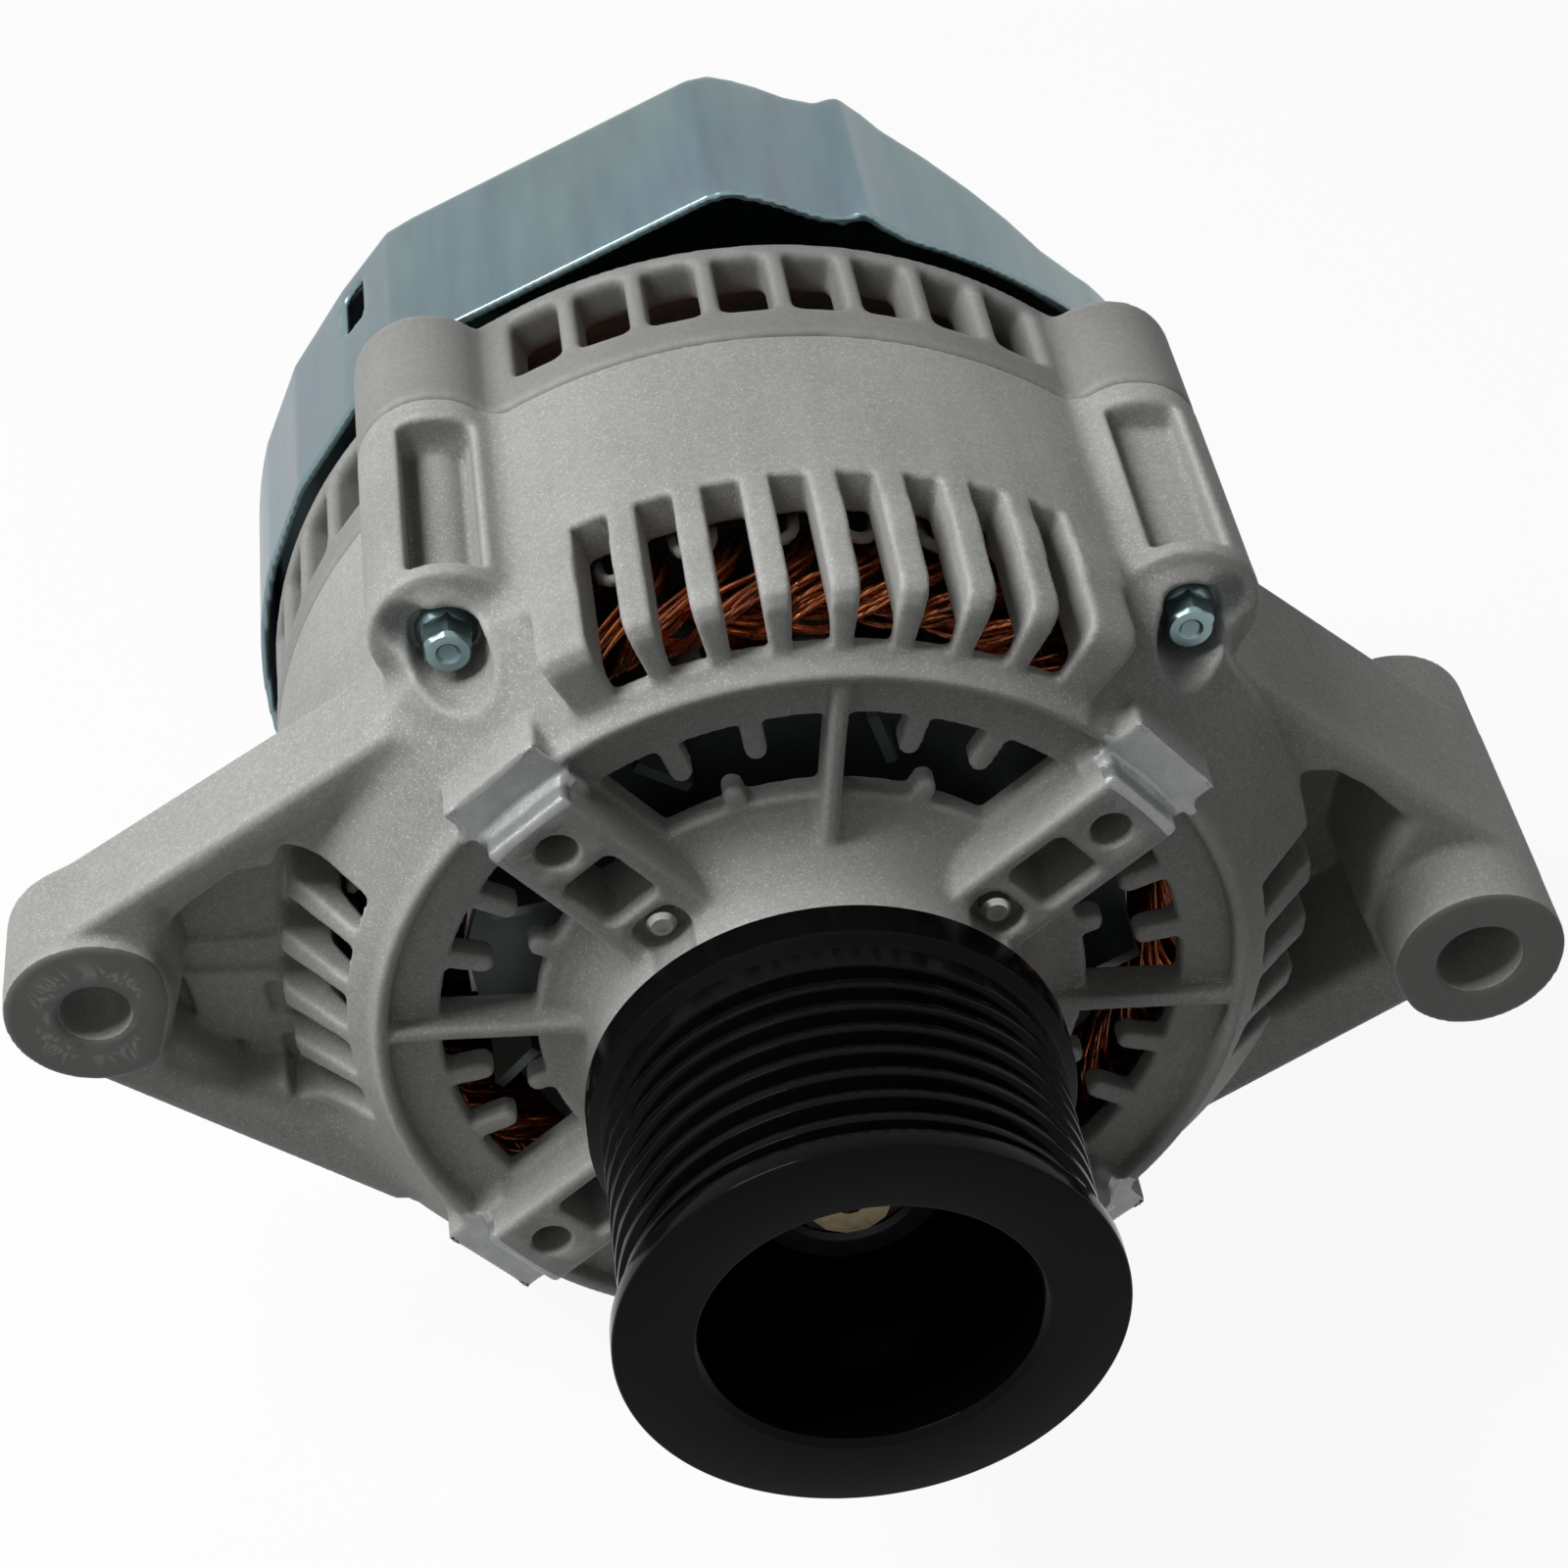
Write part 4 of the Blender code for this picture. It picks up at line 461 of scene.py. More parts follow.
def lathe(name: str, profile: Sequence[Point], segments: int, x: float = 0.0, z: float = 0.0,
          closed: bool = True) -> Object:
    """A piece turned about a line parallel to the shaft.

    Args:
        name: the piece's name.
        profile: (radius, station) points; an open profile starts and ends on the line.
        segments: steps round it.
        x: the line's place.
        z: the line's place.
        closed: whether the profile is a ring of points off the line.
    Returns:
        The new object.
    """
    points, rows, faces = [], [], []
    for radius, station in profile:
        around = segments if radius > 1e-6 else 1
        rows.append([len(points) + k for k in range(around)])
        for angle in (2 * pi * k / segments for k in range(around)):
            points.append((x + radius * cos(angle), station, z + radius * sin(angle)))
    for low, high in list(zip(rows, rows[1:])) + ([(rows[-1], rows[0])] if closed else []):
        for k in range(segments):
            n = (k + 1) % segments
            ring = [low[k % len(low)], high[k % len(high)], high[n % len(high)], low[n % len(low)]]
            face = list(dict.fromkeys(ring))
            if len(face) > 2:
                faces.append(face)
    return recalculated(mesh_object(name, np.array(points), faces))


def hexagon(name: str, rows: Sequence[Point], flat: float, sides: int, x: float = 0.0, z: float = 0.0,
            ring: bool = False) -> Object:
    """A hexagonal piece parallel to the shaft, turned where a row lies inside its flats.

    Args:
        name: the piece's name.
        rows: (radius, station) points.
        flat: half the size across flats.
        sides: points round each row.
        x: the middle's place.
        z: the middle's place.
        ring: whether the last row joins the first; otherwise the last row is capped.
    Returns:
        The new object.
    """
    points, faces, count = [], [], len(rows)
    for radius, station in rows:
        for angle in (2 * pi * k / sides for k in range(sides)):
            reach = min(radius, flat / cos((angle + pi / 6) % (pi / 3) - pi / 6))
            points.append((x + reach * cos(angle), station, z + reach * sin(angle)))
    for j in range(count if ring else count - 1):
        low, high = j * sides, (j + 1) % count * sides
        faces += [(low + k, high + k, high + (k + 1) % sides, low + (k + 1) % sides) for k in range(sides)]
    if not ring:
        faces.append([(count - 1) * sides + k for k in range(sides)])
    return recalculated(mesh_object(name, np.array(points), faces))


def tubes(name: str, paths: Sequence[Array], radius: float, sides: int = 7) -> Object:
    """Round wires along paths, as one piece.

    Args:
        name: the piece's name.
        paths: points of each wire's middle, (x, station, z).
        radius: radius of the wires.
        sides: faces round a wire.
    Returns:
        The new object.
    """
    points, faces, start = [], [], 0
    turns = np.linspace(0.0, 2 * pi, sides, endpoint=False)
    for path in paths:
        tangent = np.gradient(path, axis=0)
        tangent /= np.linalg.norm(tangent, axis=1, keepdims=True)
        side = np.cross(tangent, np.array([0.31, 0.52, 0.79]))
        side /= np.linalg.norm(side, axis=1, keepdims=True)
        up = np.cross(tangent, side)
        ring = side[:, None] * np.cos(turns)[None, :, None] + up[:, None] * np.sin(turns)[None, :, None]
        points.append((path[:, None] + ring * radius).reshape(-1, 3))
        last = start + (len(path) - 1) * sides
        for row, k in itertools.product(range(start, last, sides), range(sides)):
            a, b = row + k, row + (k + 1) % sides
            faces.append((a, b, b + sides, a + sides))
        faces.append([start + k for k in reversed(range(sides))])
        faces.append([last + k for k in range(sides)])
        start = last + sides
    return mesh_object(name, np.concatenate(points), faces)


def merged(name: str, parts: Sequence[Object]) -> Object:
    """Several meshes as one piece."""
    mesh = bmesh.new()
    for part in parts:
        mesh.from_mesh(part.data)
    first = parts[0]
    mesh.to_mesh(first.data)
    mesh.free()
    for part in parts[1:]:
        bpy.data.objects.remove(part)
    first.name = name
    return first


# ---------------------------------------------------------------- finishes


class Nodes:
    """Short ways to place and join nodes in a tree; a value is a socket, a number or a colour."""

    def __init__(self, tree: bpy.types.NodeTree) -> None:
        """Works on one tree."""
        self.tree = tree

    def add(self, kind: str, **settings: object) -> bpy.types.Node:
        """A node with some of its properties set."""
        node = self.tree.nodes.new("ShaderNode" + kind)
        for label, value in settings.items():
            setattr(node, label, value)
        return node

    def feed(self, target: bpy.types.NodeSocket, value: object) -> None:
        """Gives an input its value or a link."""
        if isinstance(value, tuple):
            target.default_value = (*value, 1.0)
        elif isinstance(value, (int, float)):
            target.default_value = value
        else:
            self.tree.links.new(value, target)

    def feed_all(self, node: bpy.types.Node, values: dict[str, object]) -> None:
        """Gives several inputs of a node their values, by name."""
        for label, value in values.items():
            self.feed(node.inputs[label], value)

    def math(self, operation: str, a: object, b: object = 0.0, clamp: bool = False) -> object:
        """The output of a Math node."""
        node = self.add("Math", operation=operation, use_clamp=clamp)
        self.feed(node.inputs[0], a)
        self.feed(node.inputs[1], b)
        return node.outputs[0]

    def times(self, a: object, b: object) -> object:
        """A product."""
        return self.math("MULTIPLY", a, b)

    def plus(self, a: object, b: object) -> object:
        """A sum."""
        return self.math("ADD", a, b)

    def minus(self, a: object, b: object) -> object:
        """A difference."""
        return self.math("SUBTRACT", a, b)

    def squares(self, a: object, b: object) -> object:
        """The sum of two squares."""
        return self.plus(self.times(a, a), self.times(b, b))

    def drift(self, middle: float, mask: object, reach: float) -> object:
        """A number that drifts about its middle with a mask."""
        return self.plus(middle, self.times(self.minus(mask, 0.5), reach))

    def place(self) -> object:
        """The place on the object, in metres."""
        return self.add("TexCoord").outputs["Object"]

    def split(self, kind: str, vector: object) -> Sequence[object]:
        """The three parts of a vector (XYZ) or a colour (Color)."""
        node = self.add("Separate" + kind)
        self.feed(node.inputs[0], vector)
        return list(node.outputs)

    def combined(self, x: object, y: object, z: object = 0.0) -> object:
        """A vector from its parts."""
        node = self.add("CombineXYZ")
        for socket, value in zip(node.inputs, (x, y, z)):
            self.feed(socket, value)
        return node.outputs[0]

    def noise(self, vector: object, scale: object, detail: float = 2.0, rough: float = 0.5) -> object:
        """The value of a noise texture."""
        node = self.add("TexNoise")
        self.feed_all(node, {"Vector": vector, "Scale": scale, "Detail": detail, "Roughness": rough})
        return node.outputs["Fac"]

    def mix(self, factor: object, a: object, b: object, blend: str = "MIX") -> object:
        """The colour output of a Mix node."""
        node = self.add("Mix", data_type="RGBA", blend_type=blend)
        for socket, value in zip((node.inputs[0], node.inputs[6], node.inputs[7]), (factor, a, b)):
            self.feed(socket, value)
        return node.outputs[2]

    def ramp(self, value: object, stops: Sequence[tuple[float, Colour]]) -> object:
        """The colour of a ramp at a value."""
        node = self.add("ValToRGB")
        elements = node.color_ramp.elements
        while len(elements) < len(stops):
            elements.new(0.5)
        for element, (place, colour) in zip(elements, stops):
            element.position, element.color = place, (*colour, 1.0)
        self.feed(node.inputs[0], value)
        return node.outputs[0]

    def tones(self, value: object, low: float, high: float) -> object:
        """A grey that goes from low to high over the middle of a mask."""
        return self.ramp(value, [(0.3, (low, low, low)), (0.7, (high, high, high))])

    def bump(self, shader: bpy.types.Node, height: object, depth: float, strength: float) -> None:
        """Feeds a height, depth metres high, to a shader's normal."""
        node = self.add("Bump")
        self.feed_all(node, {"Distance": depth, "Strength": strength, "Height": height})
        self.feed(shader.inputs["Normal"], node.outputs[0])

    def shared(self, tree: bpy.types.NodeTree, **values: float) -> Sequence[object]:
        """The outputs of a shared group, placed with its own values."""
        node = self.add("Group", node_tree=tree)
        self.feed_all(node, values)
        return list(node.outputs)

    def seen(self) -> object:
        """One for rays from the camera, from reflections and through clear matter."""
        path = self.add("LightPath").outputs
        mask = self.math("MAXIMUM", path["Is Camera Ray"], path["Is Glossy Ray"])
        return self.math("MAXIMUM", mask, path["Is Transmission Ray"])


class Effects:
    """The shader groups that several finishes share; Scale and Breakup are details to the metre."""

    def __init__(self) -> None:
        """Builds each group once."""
        self.grain = self._group("Sand grain", {"Scale": 1500.0, "Sparkle": 0.5}, ("Height", "Glint", "Tone"))
        self.patches = self._group("Tone patches", {"Scale": 40.0, "Stretch": 1.0}, ("Mask", "Streak"))
        # This group gives worn edges and a mask of hollows where the finishes paint shade.
        self.wear_and_shade = self._group("Edge wear", {"Width": 0.06, "Breakup": 900.0}, ("Edge", "Hollow"))
        self._fill(self.grain, self._grain)
        self._fill(self.patches, self._patches)
        self._fill(self.wear_and_shade, self._wear_and_shade)

    @staticmethod
    def _group(name: str, inputs: dict[str, float], outputs: Sequence[str]) -> bpy.types.NodeTree:
        """An empty group of numbers in and numbers out.

        Args:
            name: the group's name.
            inputs: the inputs and their defaults.
            outputs: the outputs.
        Returns:
            The node tree.
        """
        tree = bpy.data.node_groups.new(name, "ShaderNodeTree")
        for label, value in inputs.items():
            socket = tree.interface.new_socket(label, in_out="INPUT", socket_type="NodeSocketFloat")
            socket.default_value = value
        for label in outputs:
            tree.interface.new_socket(label, in_out="OUTPUT", socket_type="NodeSocketFloat")
        return tree

    @staticmethod
    def _fill(tree: bpy.types.NodeTree, effect: Callable[..., Sequence[object]]) -> None:
        """Joins an effect between the group's two inputs and its outputs."""
        into, out = tree.nodes.new("NodeGroupInput"), tree.nodes.new("NodeGroupOutput")
        n = Nodes(tree)
        for value, socket in zip(effect(n, into.outputs[0], into.outputs[1]), out.inputs):
            n.feed(socket, value)

    @staticmethod
    def _grain(n: Nodes, scale: object, sparkle: object) -> Sequence[object]:
        """Sand grain: height, painted highlight glints on a few random cells and a fine tone change."""
        place = n.place()
        cells = n.add("TexVoronoi", feature="F1")
        n.feed_all(cells, {"Vector": place, "Scale": n.times(scale, 1.3)})
        height = n.plus(n.noise(place, scale, 4.0, 0.6), n.times(cells.outputs["Distance"], 0.55))
        # Painted highlight: the brightest cells give the glint mask that lightens the colour.
        floor = n.minus(1.0, n.times(sparkle, 0.22))
        bright = n.minus(n.split("Color", cells.outputs["Color"])[0], floor)
        return height, n.math("MULTIPLY", bright, 12.0, clamp=True), n.noise(place, n.times(scale, 0.25), 3.0)

    @staticmethod
    def _patches(n: Nodes, scale: object, stretch: object) -> Sequence[object]:
        """Broad stains, and finer streaks drawn out along the shaft."""
        place = n.place()
        x, y, z = n.split("XYZ", place)
        drawn = n.combined(x, n.math("DIVIDE", y, stretch), z)
        return n.noise(place, scale, 5.0, 0.55), n.noise(drawn, n.times(scale, 12.0), 3.0)

    @staticmethod
    def _wear_and_shade(n: Nodes, width: object, breakup: object) -> Sequence[object]:
        """Bright worn edges, and a mask of hollows where shade is painted, from how sharply the surface
        bends.
        """
        bend = n.add("NewGeometry").outputs["Pointiness"]
        chips = n.noise(n.place(), breakup, 3.0)
        edge = n.math("DIVIDE", n.minus(bend, 0.5), width, clamp=True)
        # Painted shade: concave places, where the finishes darken their colour.
        hollow_shade = n.math("DIVIDE", n.minus(0.5, bend), width, clamp=True)
        return n.math("MULTIPLY", edge, n.plus(chips, 0.4), clamp=True), hollow_shade


EFFECTS = Effects()


def scaled(colour: Colour, factor: float) -> Colour:
    """A darker or lighter colour."""
    return tuple(min(part * factor, 1.0) for part in colour)


@dataclass(frozen=True)
class Finish:
    """A material, and the record's slot that it belongs to."""

    name: str
    slot: str

    def material(self) -> bpy.types.Material:
        """The finish as a material."""
        material = bpy.data.materials.new(self.name)
        material.use_nodes = True
        self.shade(Nodes(material.node_tree), material.node_tree.nodes["Principled BSDF"])
        return material

    def shade(self, n: Nodes, shader: bpy.types.Node) -> None:
        """Joins the finish's own nodes to the shader."""
        raise NotImplementedError


@dataclass(frozen=True)
class CastFinish(Finish):
    """Cast aluminium: sand grain, stains and slightly worn edges, with painted highlight glints, painted
    shade in hollows and, where machined, painted shade on the ears' faced ends.
    """

    colour: Colour
    # Near-white colour for the painted highlight glints, which worn edges are lightened towards too.
    painted_glint: Colour = (0.80, 0.80, 0.78)
    grain: float = 5200.0
    sparkle: float = 0.55
    depth: float = 0.00010
    metallic: float = 0.05
    roughness: float = 0.60
    specular: float = 0.20
    machined: bool = False

    @staticmethod
    def zones(n: Nodes) -> tuple[object, object]:
        """Masks of the turned pads at the arms' ends and of the faced ends of both ears."""
        x, y, z = n.split("XYZ", n.place())
        square = n.squares(x, z)
        diagonal = n.math("DIVIDE", n.math("ABSOLUTE", n.times(x, z)), square)
        pads = n.times(n.math("GREATER_THAN", diagonal, 0.4735), n.math("GREATER_THAN", square, 0.0507 ** 2))
        pads = n.times(pads, n.math("LESS_THAN", square, 0.0578 ** 2))
        pads = n.times(pads, n.math("LESS_THAN", y, 0.05085 - LENGTH / 1000))
        faces = 0.0
        for ear in (LEFT_EAR, RIGHT_EAR):
            away = n.squares(n.minus(x, ear.x / 1000), n.minus(z, ear.z / 1000))
            gaps = [n.math("ABSOLUTE", n.minus(y, (station - LENGTH) / 1000)) for station in ear.boss]
            near = n.math("LESS_THAN", n.math("MINIMUM", *gaps), 0.00045)
            faces = n.math("MAXIMUM", n.times(n.math("LESS_THAN", away, 0.0112 ** 2), near), faces)
        return pads, faces

    def shade(self, n: Nodes, shader: bpy.types.Node) -> None:
        """See Finish."""
        height, painted_glint, tone = n.shared(EFFECTS.grain, Scale=self.grain, Sparkle=self.sparkle)
        mask, streak = n.shared(EFFECTS.patches, Scale=35.0, Stretch=1.0)
        edge, hollow_shade = n.shared(EFFECTS.wear_and_shade, Width=0.05, Breakup=700.0)
        stops = [(0.35, scaled(self.colour, 0.88)), (0.5, self.colour), (0.68, scaled(self.colour, 1.08))]
        colour = n.mix(1.0, n.ramp(mask, stops), n.tones(tone, 0.90, 1.07), "MULTIPLY")
        # Painted shade: the colour darkens in hollows and creases.
        colour = n.mix(n.times(hollow_shade, 0.35), colour, scaled(self.colour, 0.45))
        # Painted highlight glints, together with real edge wear, lighten the colour and smooth it.
        painted_glint_and_wear = n.math("MAXIMUM", painted_glint, n.times(edge, 0.45))
        colour = n.mix(n.times(painted_glint_and_wear, 0.5), colour, self.painted_glint)
        roughness = n.minus(self.roughness, n.times(painted_glint_and_wear, 0.18))
        metallic = self.metallic
        if self.machined:
            pads, faces = self.zones(n)
            drift = n.mix(streak, (0.24, 0.25, 0.25), (0.40, 0.41, 0.41))
            # Painted shade: the ears' faced ends get a dark grey; the arms' turned pads get a lighter,
            # streaky metal tone.
            colour = n.mix(faces, n.mix(pads, colour, drift), (0.140, 0.140, 0.134))
            metallic = n.plus(metallic, n.plus(n.times(pads, 0.5), n.times(faces, 0.2)))
            roughness = n.minus(roughness, n.times(pads, 0.22))
        n.feed_all(shader, {"Base Color": colour, "Metallic": metallic, "Roughness": roughness,
                            "Specular IOR Level": self.specular})
        n.bump(shader, height, self.depth, 0.55)


@dataclass(frozen=True)
class MachinedFinish(Finish):
    """Turned or ground metal: fine tool marks round the shaft's axis, faint stains, worn edges and painted
    shade in hollows.
    """

    colour: Colour
    tint: Colour
    metallic: float = 0.8
    roughness: float = 0.32
    marks: float = 2600.0
    depth: float = 0.00003

    def shade(self, n: Nodes, shader: bpy.types.Node) -> None:
        """See Finish."""
        mask, streak = n.shared(EFFECTS.patches, Scale=60.0, Stretch=4.0)
        edge, hollow_shade = n.shared(EFFECTS.wear_and_shade, Width=0.08, Breakup=900.0)
        x, y, z = n.split("XYZ", n.place())
        around = n.combined(n.math("SQRT", n.squares(x, z)), y)
        colour = n.mix(n.times(edge, 0.35), n.mix(mask, self.colour, self.tint), scaled(self.colour, 1.5))
        # Painted shade: the colour darkens in hollows.
        colour = n.mix(n.times(hollow_shade, 0.5), colour, scaled(self.colour, 0.35))
        n.feed_all(shader, {"Base Color": colour, "Metallic": self.metallic,
                            "Roughness": n.drift(self.roughness, streak, 0.25)})
        n.bump(shader, n.noise(around, self.marks), self.depth, 0.4)


@dataclass(frozen=True)
class PlatedFinish(Finish):
    """Bright zinc plate: a thin film that drifts from blue through green to violet and straw."""

    blue: Colour = (0.145, 0.215, 0.250)
    green: Colour = (0.165, 0.230, 0.235)
    straw: Colour = (0.215, 0.232, 0.215)
    violet: Colour = (0.155, 0.178, 0.222)
    metallic: float = 0.85
    roughness: float = 0.30

    def shade(self, n: Nodes, shader: bpy.types.Node) -> None:
        """See Finish."""
        mask, streak = n.shared(EFFECTS.patches, Scale=16.0, Stretch=6.0)
        edge = n.shared(EFFECTS.wear_and_shade, Width=0.06, Breakup=500.0)[0]
        stops = [(0.30, self.violet), (0.42, self.blue), (0.55, self.green), (0.66, self.straw),
                 (0.78, self.blue)]
        film = n.ramp(n.plus(n.times(mask, 0.8), n.times(streak, 0.2)), stops)
        colour = n.mix(1.0, film, n.tones(streak, 0.86, 1.10), "MULTIPLY")
        colour = n.mix(n.times(edge, 0.5), colour, scaled(self.green, 1.7))
        n.feed_all(shader, {"Base Color": colour, "Metallic": self.metallic,
                            "Roughness": n.drift(self.roughness, streak, 0.22)})
        n.bump(shader, streak, 0.00005, 0.35)


@dataclass(frozen=True)
class CoatedFinish(Finish):
    """Paint or moulded plastic: a fine orange-peel skin, dust and rubbed edges."""

    colour: Colour
    rubbed: Colour
    roughness: float = 0.3
    peel: float = 500.0
    depth: float = 0.00004
    specular: float = 0.35

    def shade(self, n: Nodes, shader: bpy.types.Node) -> None:
        """See Finish."""
        height = n.shared(EFFECTS.grain, Scale=self.peel, Sparkle=0.0)[0]
        mask, streak = n.shared(EFFECTS.patches, Scale=50.0, Stretch=2.0)
        edge = n.shared(EFFECTS.wear_and_shade, Width=0.07, Breakup=800.0)[0]
        dusty = tuple(part * 1.5 + 0.0008 for part in self.colour)
        colour = n.mix(n.times(edge, 0.4), n.mix(mask, self.colour, dusty), self.rubbed)
        n.feed_all(shader, {"Base Color": colour, "Specular IOR Level": self.specular,
                            "Roughness": n.drift(self.roughness, streak, 0.18)})
        n.bump(shader, height, self.depth, 0.3)


@dataclass(frozen=True)
class WireFinish(Finish):
    """Enamelled copper wire: amber varnish over copper, darker where the varnish has pooled."""

    varnish: Colour = (0.10, 0.020, 0.008)
    copper: Colour = (0.52, 0.13, 0.035)
    bare: Colour = (0.68, 0.22, 0.06)

    def shade(self, n: Nodes, shader: bpy.types.Node) -> None:
        """See Finish."""
        mask, streak = n.shared(EFFECTS.patches, Scale=160.0, Stretch=1.0)
        height = n.shared(EFFECTS.grain, Scale=2500.0, Sparkle=0.0)[0]
        colour = n.ramp(mask, [(0.32, self.varnish), (0.50, self.copper), (0.70, self.bare)])
        n.feed_all(shader, {"Base Color": colour, "Metallic": 0.85, "Coat Weight": 0.6,
                            "Coat Roughness": 0.12, "Roughness": n.plus(0.18, n.times(streak, 0.22))})
        n.bump(shader, height, 0.00003, 0.3)


@dataclass(frozen=True)
class LaminatedFinish(Finish):
    """Stacked steel sheets under black varnish: fine lines across the shaft."""

    colour: Colour = (0.016, 0.016, 0.017)
    sheet: float = 0.0005

    def shade(self, n: Nodes, shader: bpy.types.Node) -> None:
        """See Finish."""
        along = n.split("XYZ", n.place())[1]
        mask, streak = n.shared(EFFECTS.patches, Scale=70.0, Stretch=1.0)
        n.feed_all(shader, {"Base Color": n.mix(mask, self.colour, scaled(self.colour, 2.0)), "Metallic": 0.2,
                            "Specular IOR Level": 0.2, "Roughness": n.plus(0.45, n.times(streak, 0.2))})
        n.bump(shader, n.math("SINE", n.times(along, 2 * pi / self.sheet)), 0.00004, 0.5)


class Finishes:
    """Every finish of the part, each made into a material once."""

    def __init__(self) -> None:
        """Builds the materials."""
        self.listed: dict[str, Finish] = {
            "cast": CastFinish("cast_sand_grain", "cast_bracket", (0.380, 0.380, 0.361), machined=True),
            # Its darker grey is partly the rear casting's own tone and partly painted shade.
            "rear_cast": CastFinish("cast_fine_grain", "cast_rear_bracket", (0.270, 0.270, 0.257),
                                    sparkle=0.15, depth=0.00004, grain=6000.0),
            # Zinc plate in painted shade: the fans sit inside the brackets, so their colours are much darker
            # copies of the cover's.
            "fan": PlatedFinish("fan_zinc_painted_shade", "zinc_plate", (0.040, 0.052, 0.048), (0.045, 0.058, 0.050),
                                (0.058, 0.062, 0.050), (0.042, 0.046, 0.050), metallic=0.5, roughness=0.45),
            "zinc": PlatedFinish("zinc_plate_drift", "zinc_plate"),
            "paint": CoatedFinish("pulley_black_coating", "black_coating", (0.0022, 0.0022, 0.0024),
                                  (0.009, 0.009, 0.010), roughness=0.13, specular=0.055),
            "steel": MachinedFinish("bright_steel_turned", "bright_steel", (0.42, 0.41, 0.39),
                                    (0.33, 0.32, 0.31)),
            "tip": MachinedFinish("shaft_end_oiled", "bright_steel", (0.40, 0.33, 0.20), (0.26, 0.20, 0.12)),
            "dark": MachinedFinish("dark_oxide_steel", "dark_steel", (0.012, 0.012, 0.013),
                                   (0.009, 0.009, 0.010), metallic=0.9, roughness=0.45),
            "core": LaminatedFinish("laminated_core", "dark_steel"),
            "wire": WireFinish("enamelled_wire", "copper"),
            "plastic": CoatedFinish("moulded_plastic", "black_plastic", (0.020, 0.020, 0.022),
                                    (0.05, 0.05, 0.05), roughness=0.5, depth=0.00006, peel=1400.0),
            "liner": CoatedFinish("slot_liner_paper", "black_plastic", (0.50, 0.49, 0.46), (0.6, 0.59, 0.56),
                                  roughness=0.7, depth=0.00008, peel=1800.0),
            "carbon": CoatedFinish("brush_carbon", "carbon_brush", (0.03, 0.03, 0.03), (0.08, 0.08, 0.08),
                                   roughness=0.6, peel=2200.0),
            "sheet": MachinedFinish("pressed_aluminium", "plate_aluminium", (0.50, 0.51, 0.52),
                                    (0.42, 0.43, 0.44)),
        }
        self.materials = {label: finish.material() for label, finish in self.listed.items()}

    def place(self, obj: Object, label: str, body: Body, *nodes: str) -> None:
        """Gives a piece its finish and body, and lets it stand for CAD nodes.

        Args:
            obj: the piece.
            label: which finish.
            body: the body that it rides on.
            nodes: the CAD nodes that it replaces.
        """
        obj.data.materials.clear()
        obj.data.materials.append(self.materials[label])
        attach(obj, body.value)
        if nodes:
            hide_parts(*nodes)
        LOG.info("%s: %d faces on %s", obj.name, len(obj.data.polygons), body.value)

    def redress(self, node: str, label: str) -> None:
        """Gives a CAD node a finish on each of its slots."""
        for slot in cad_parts[node].material_slots:
            slot.material = self.materials[label]


# ---------------------------------------------------------------- castings


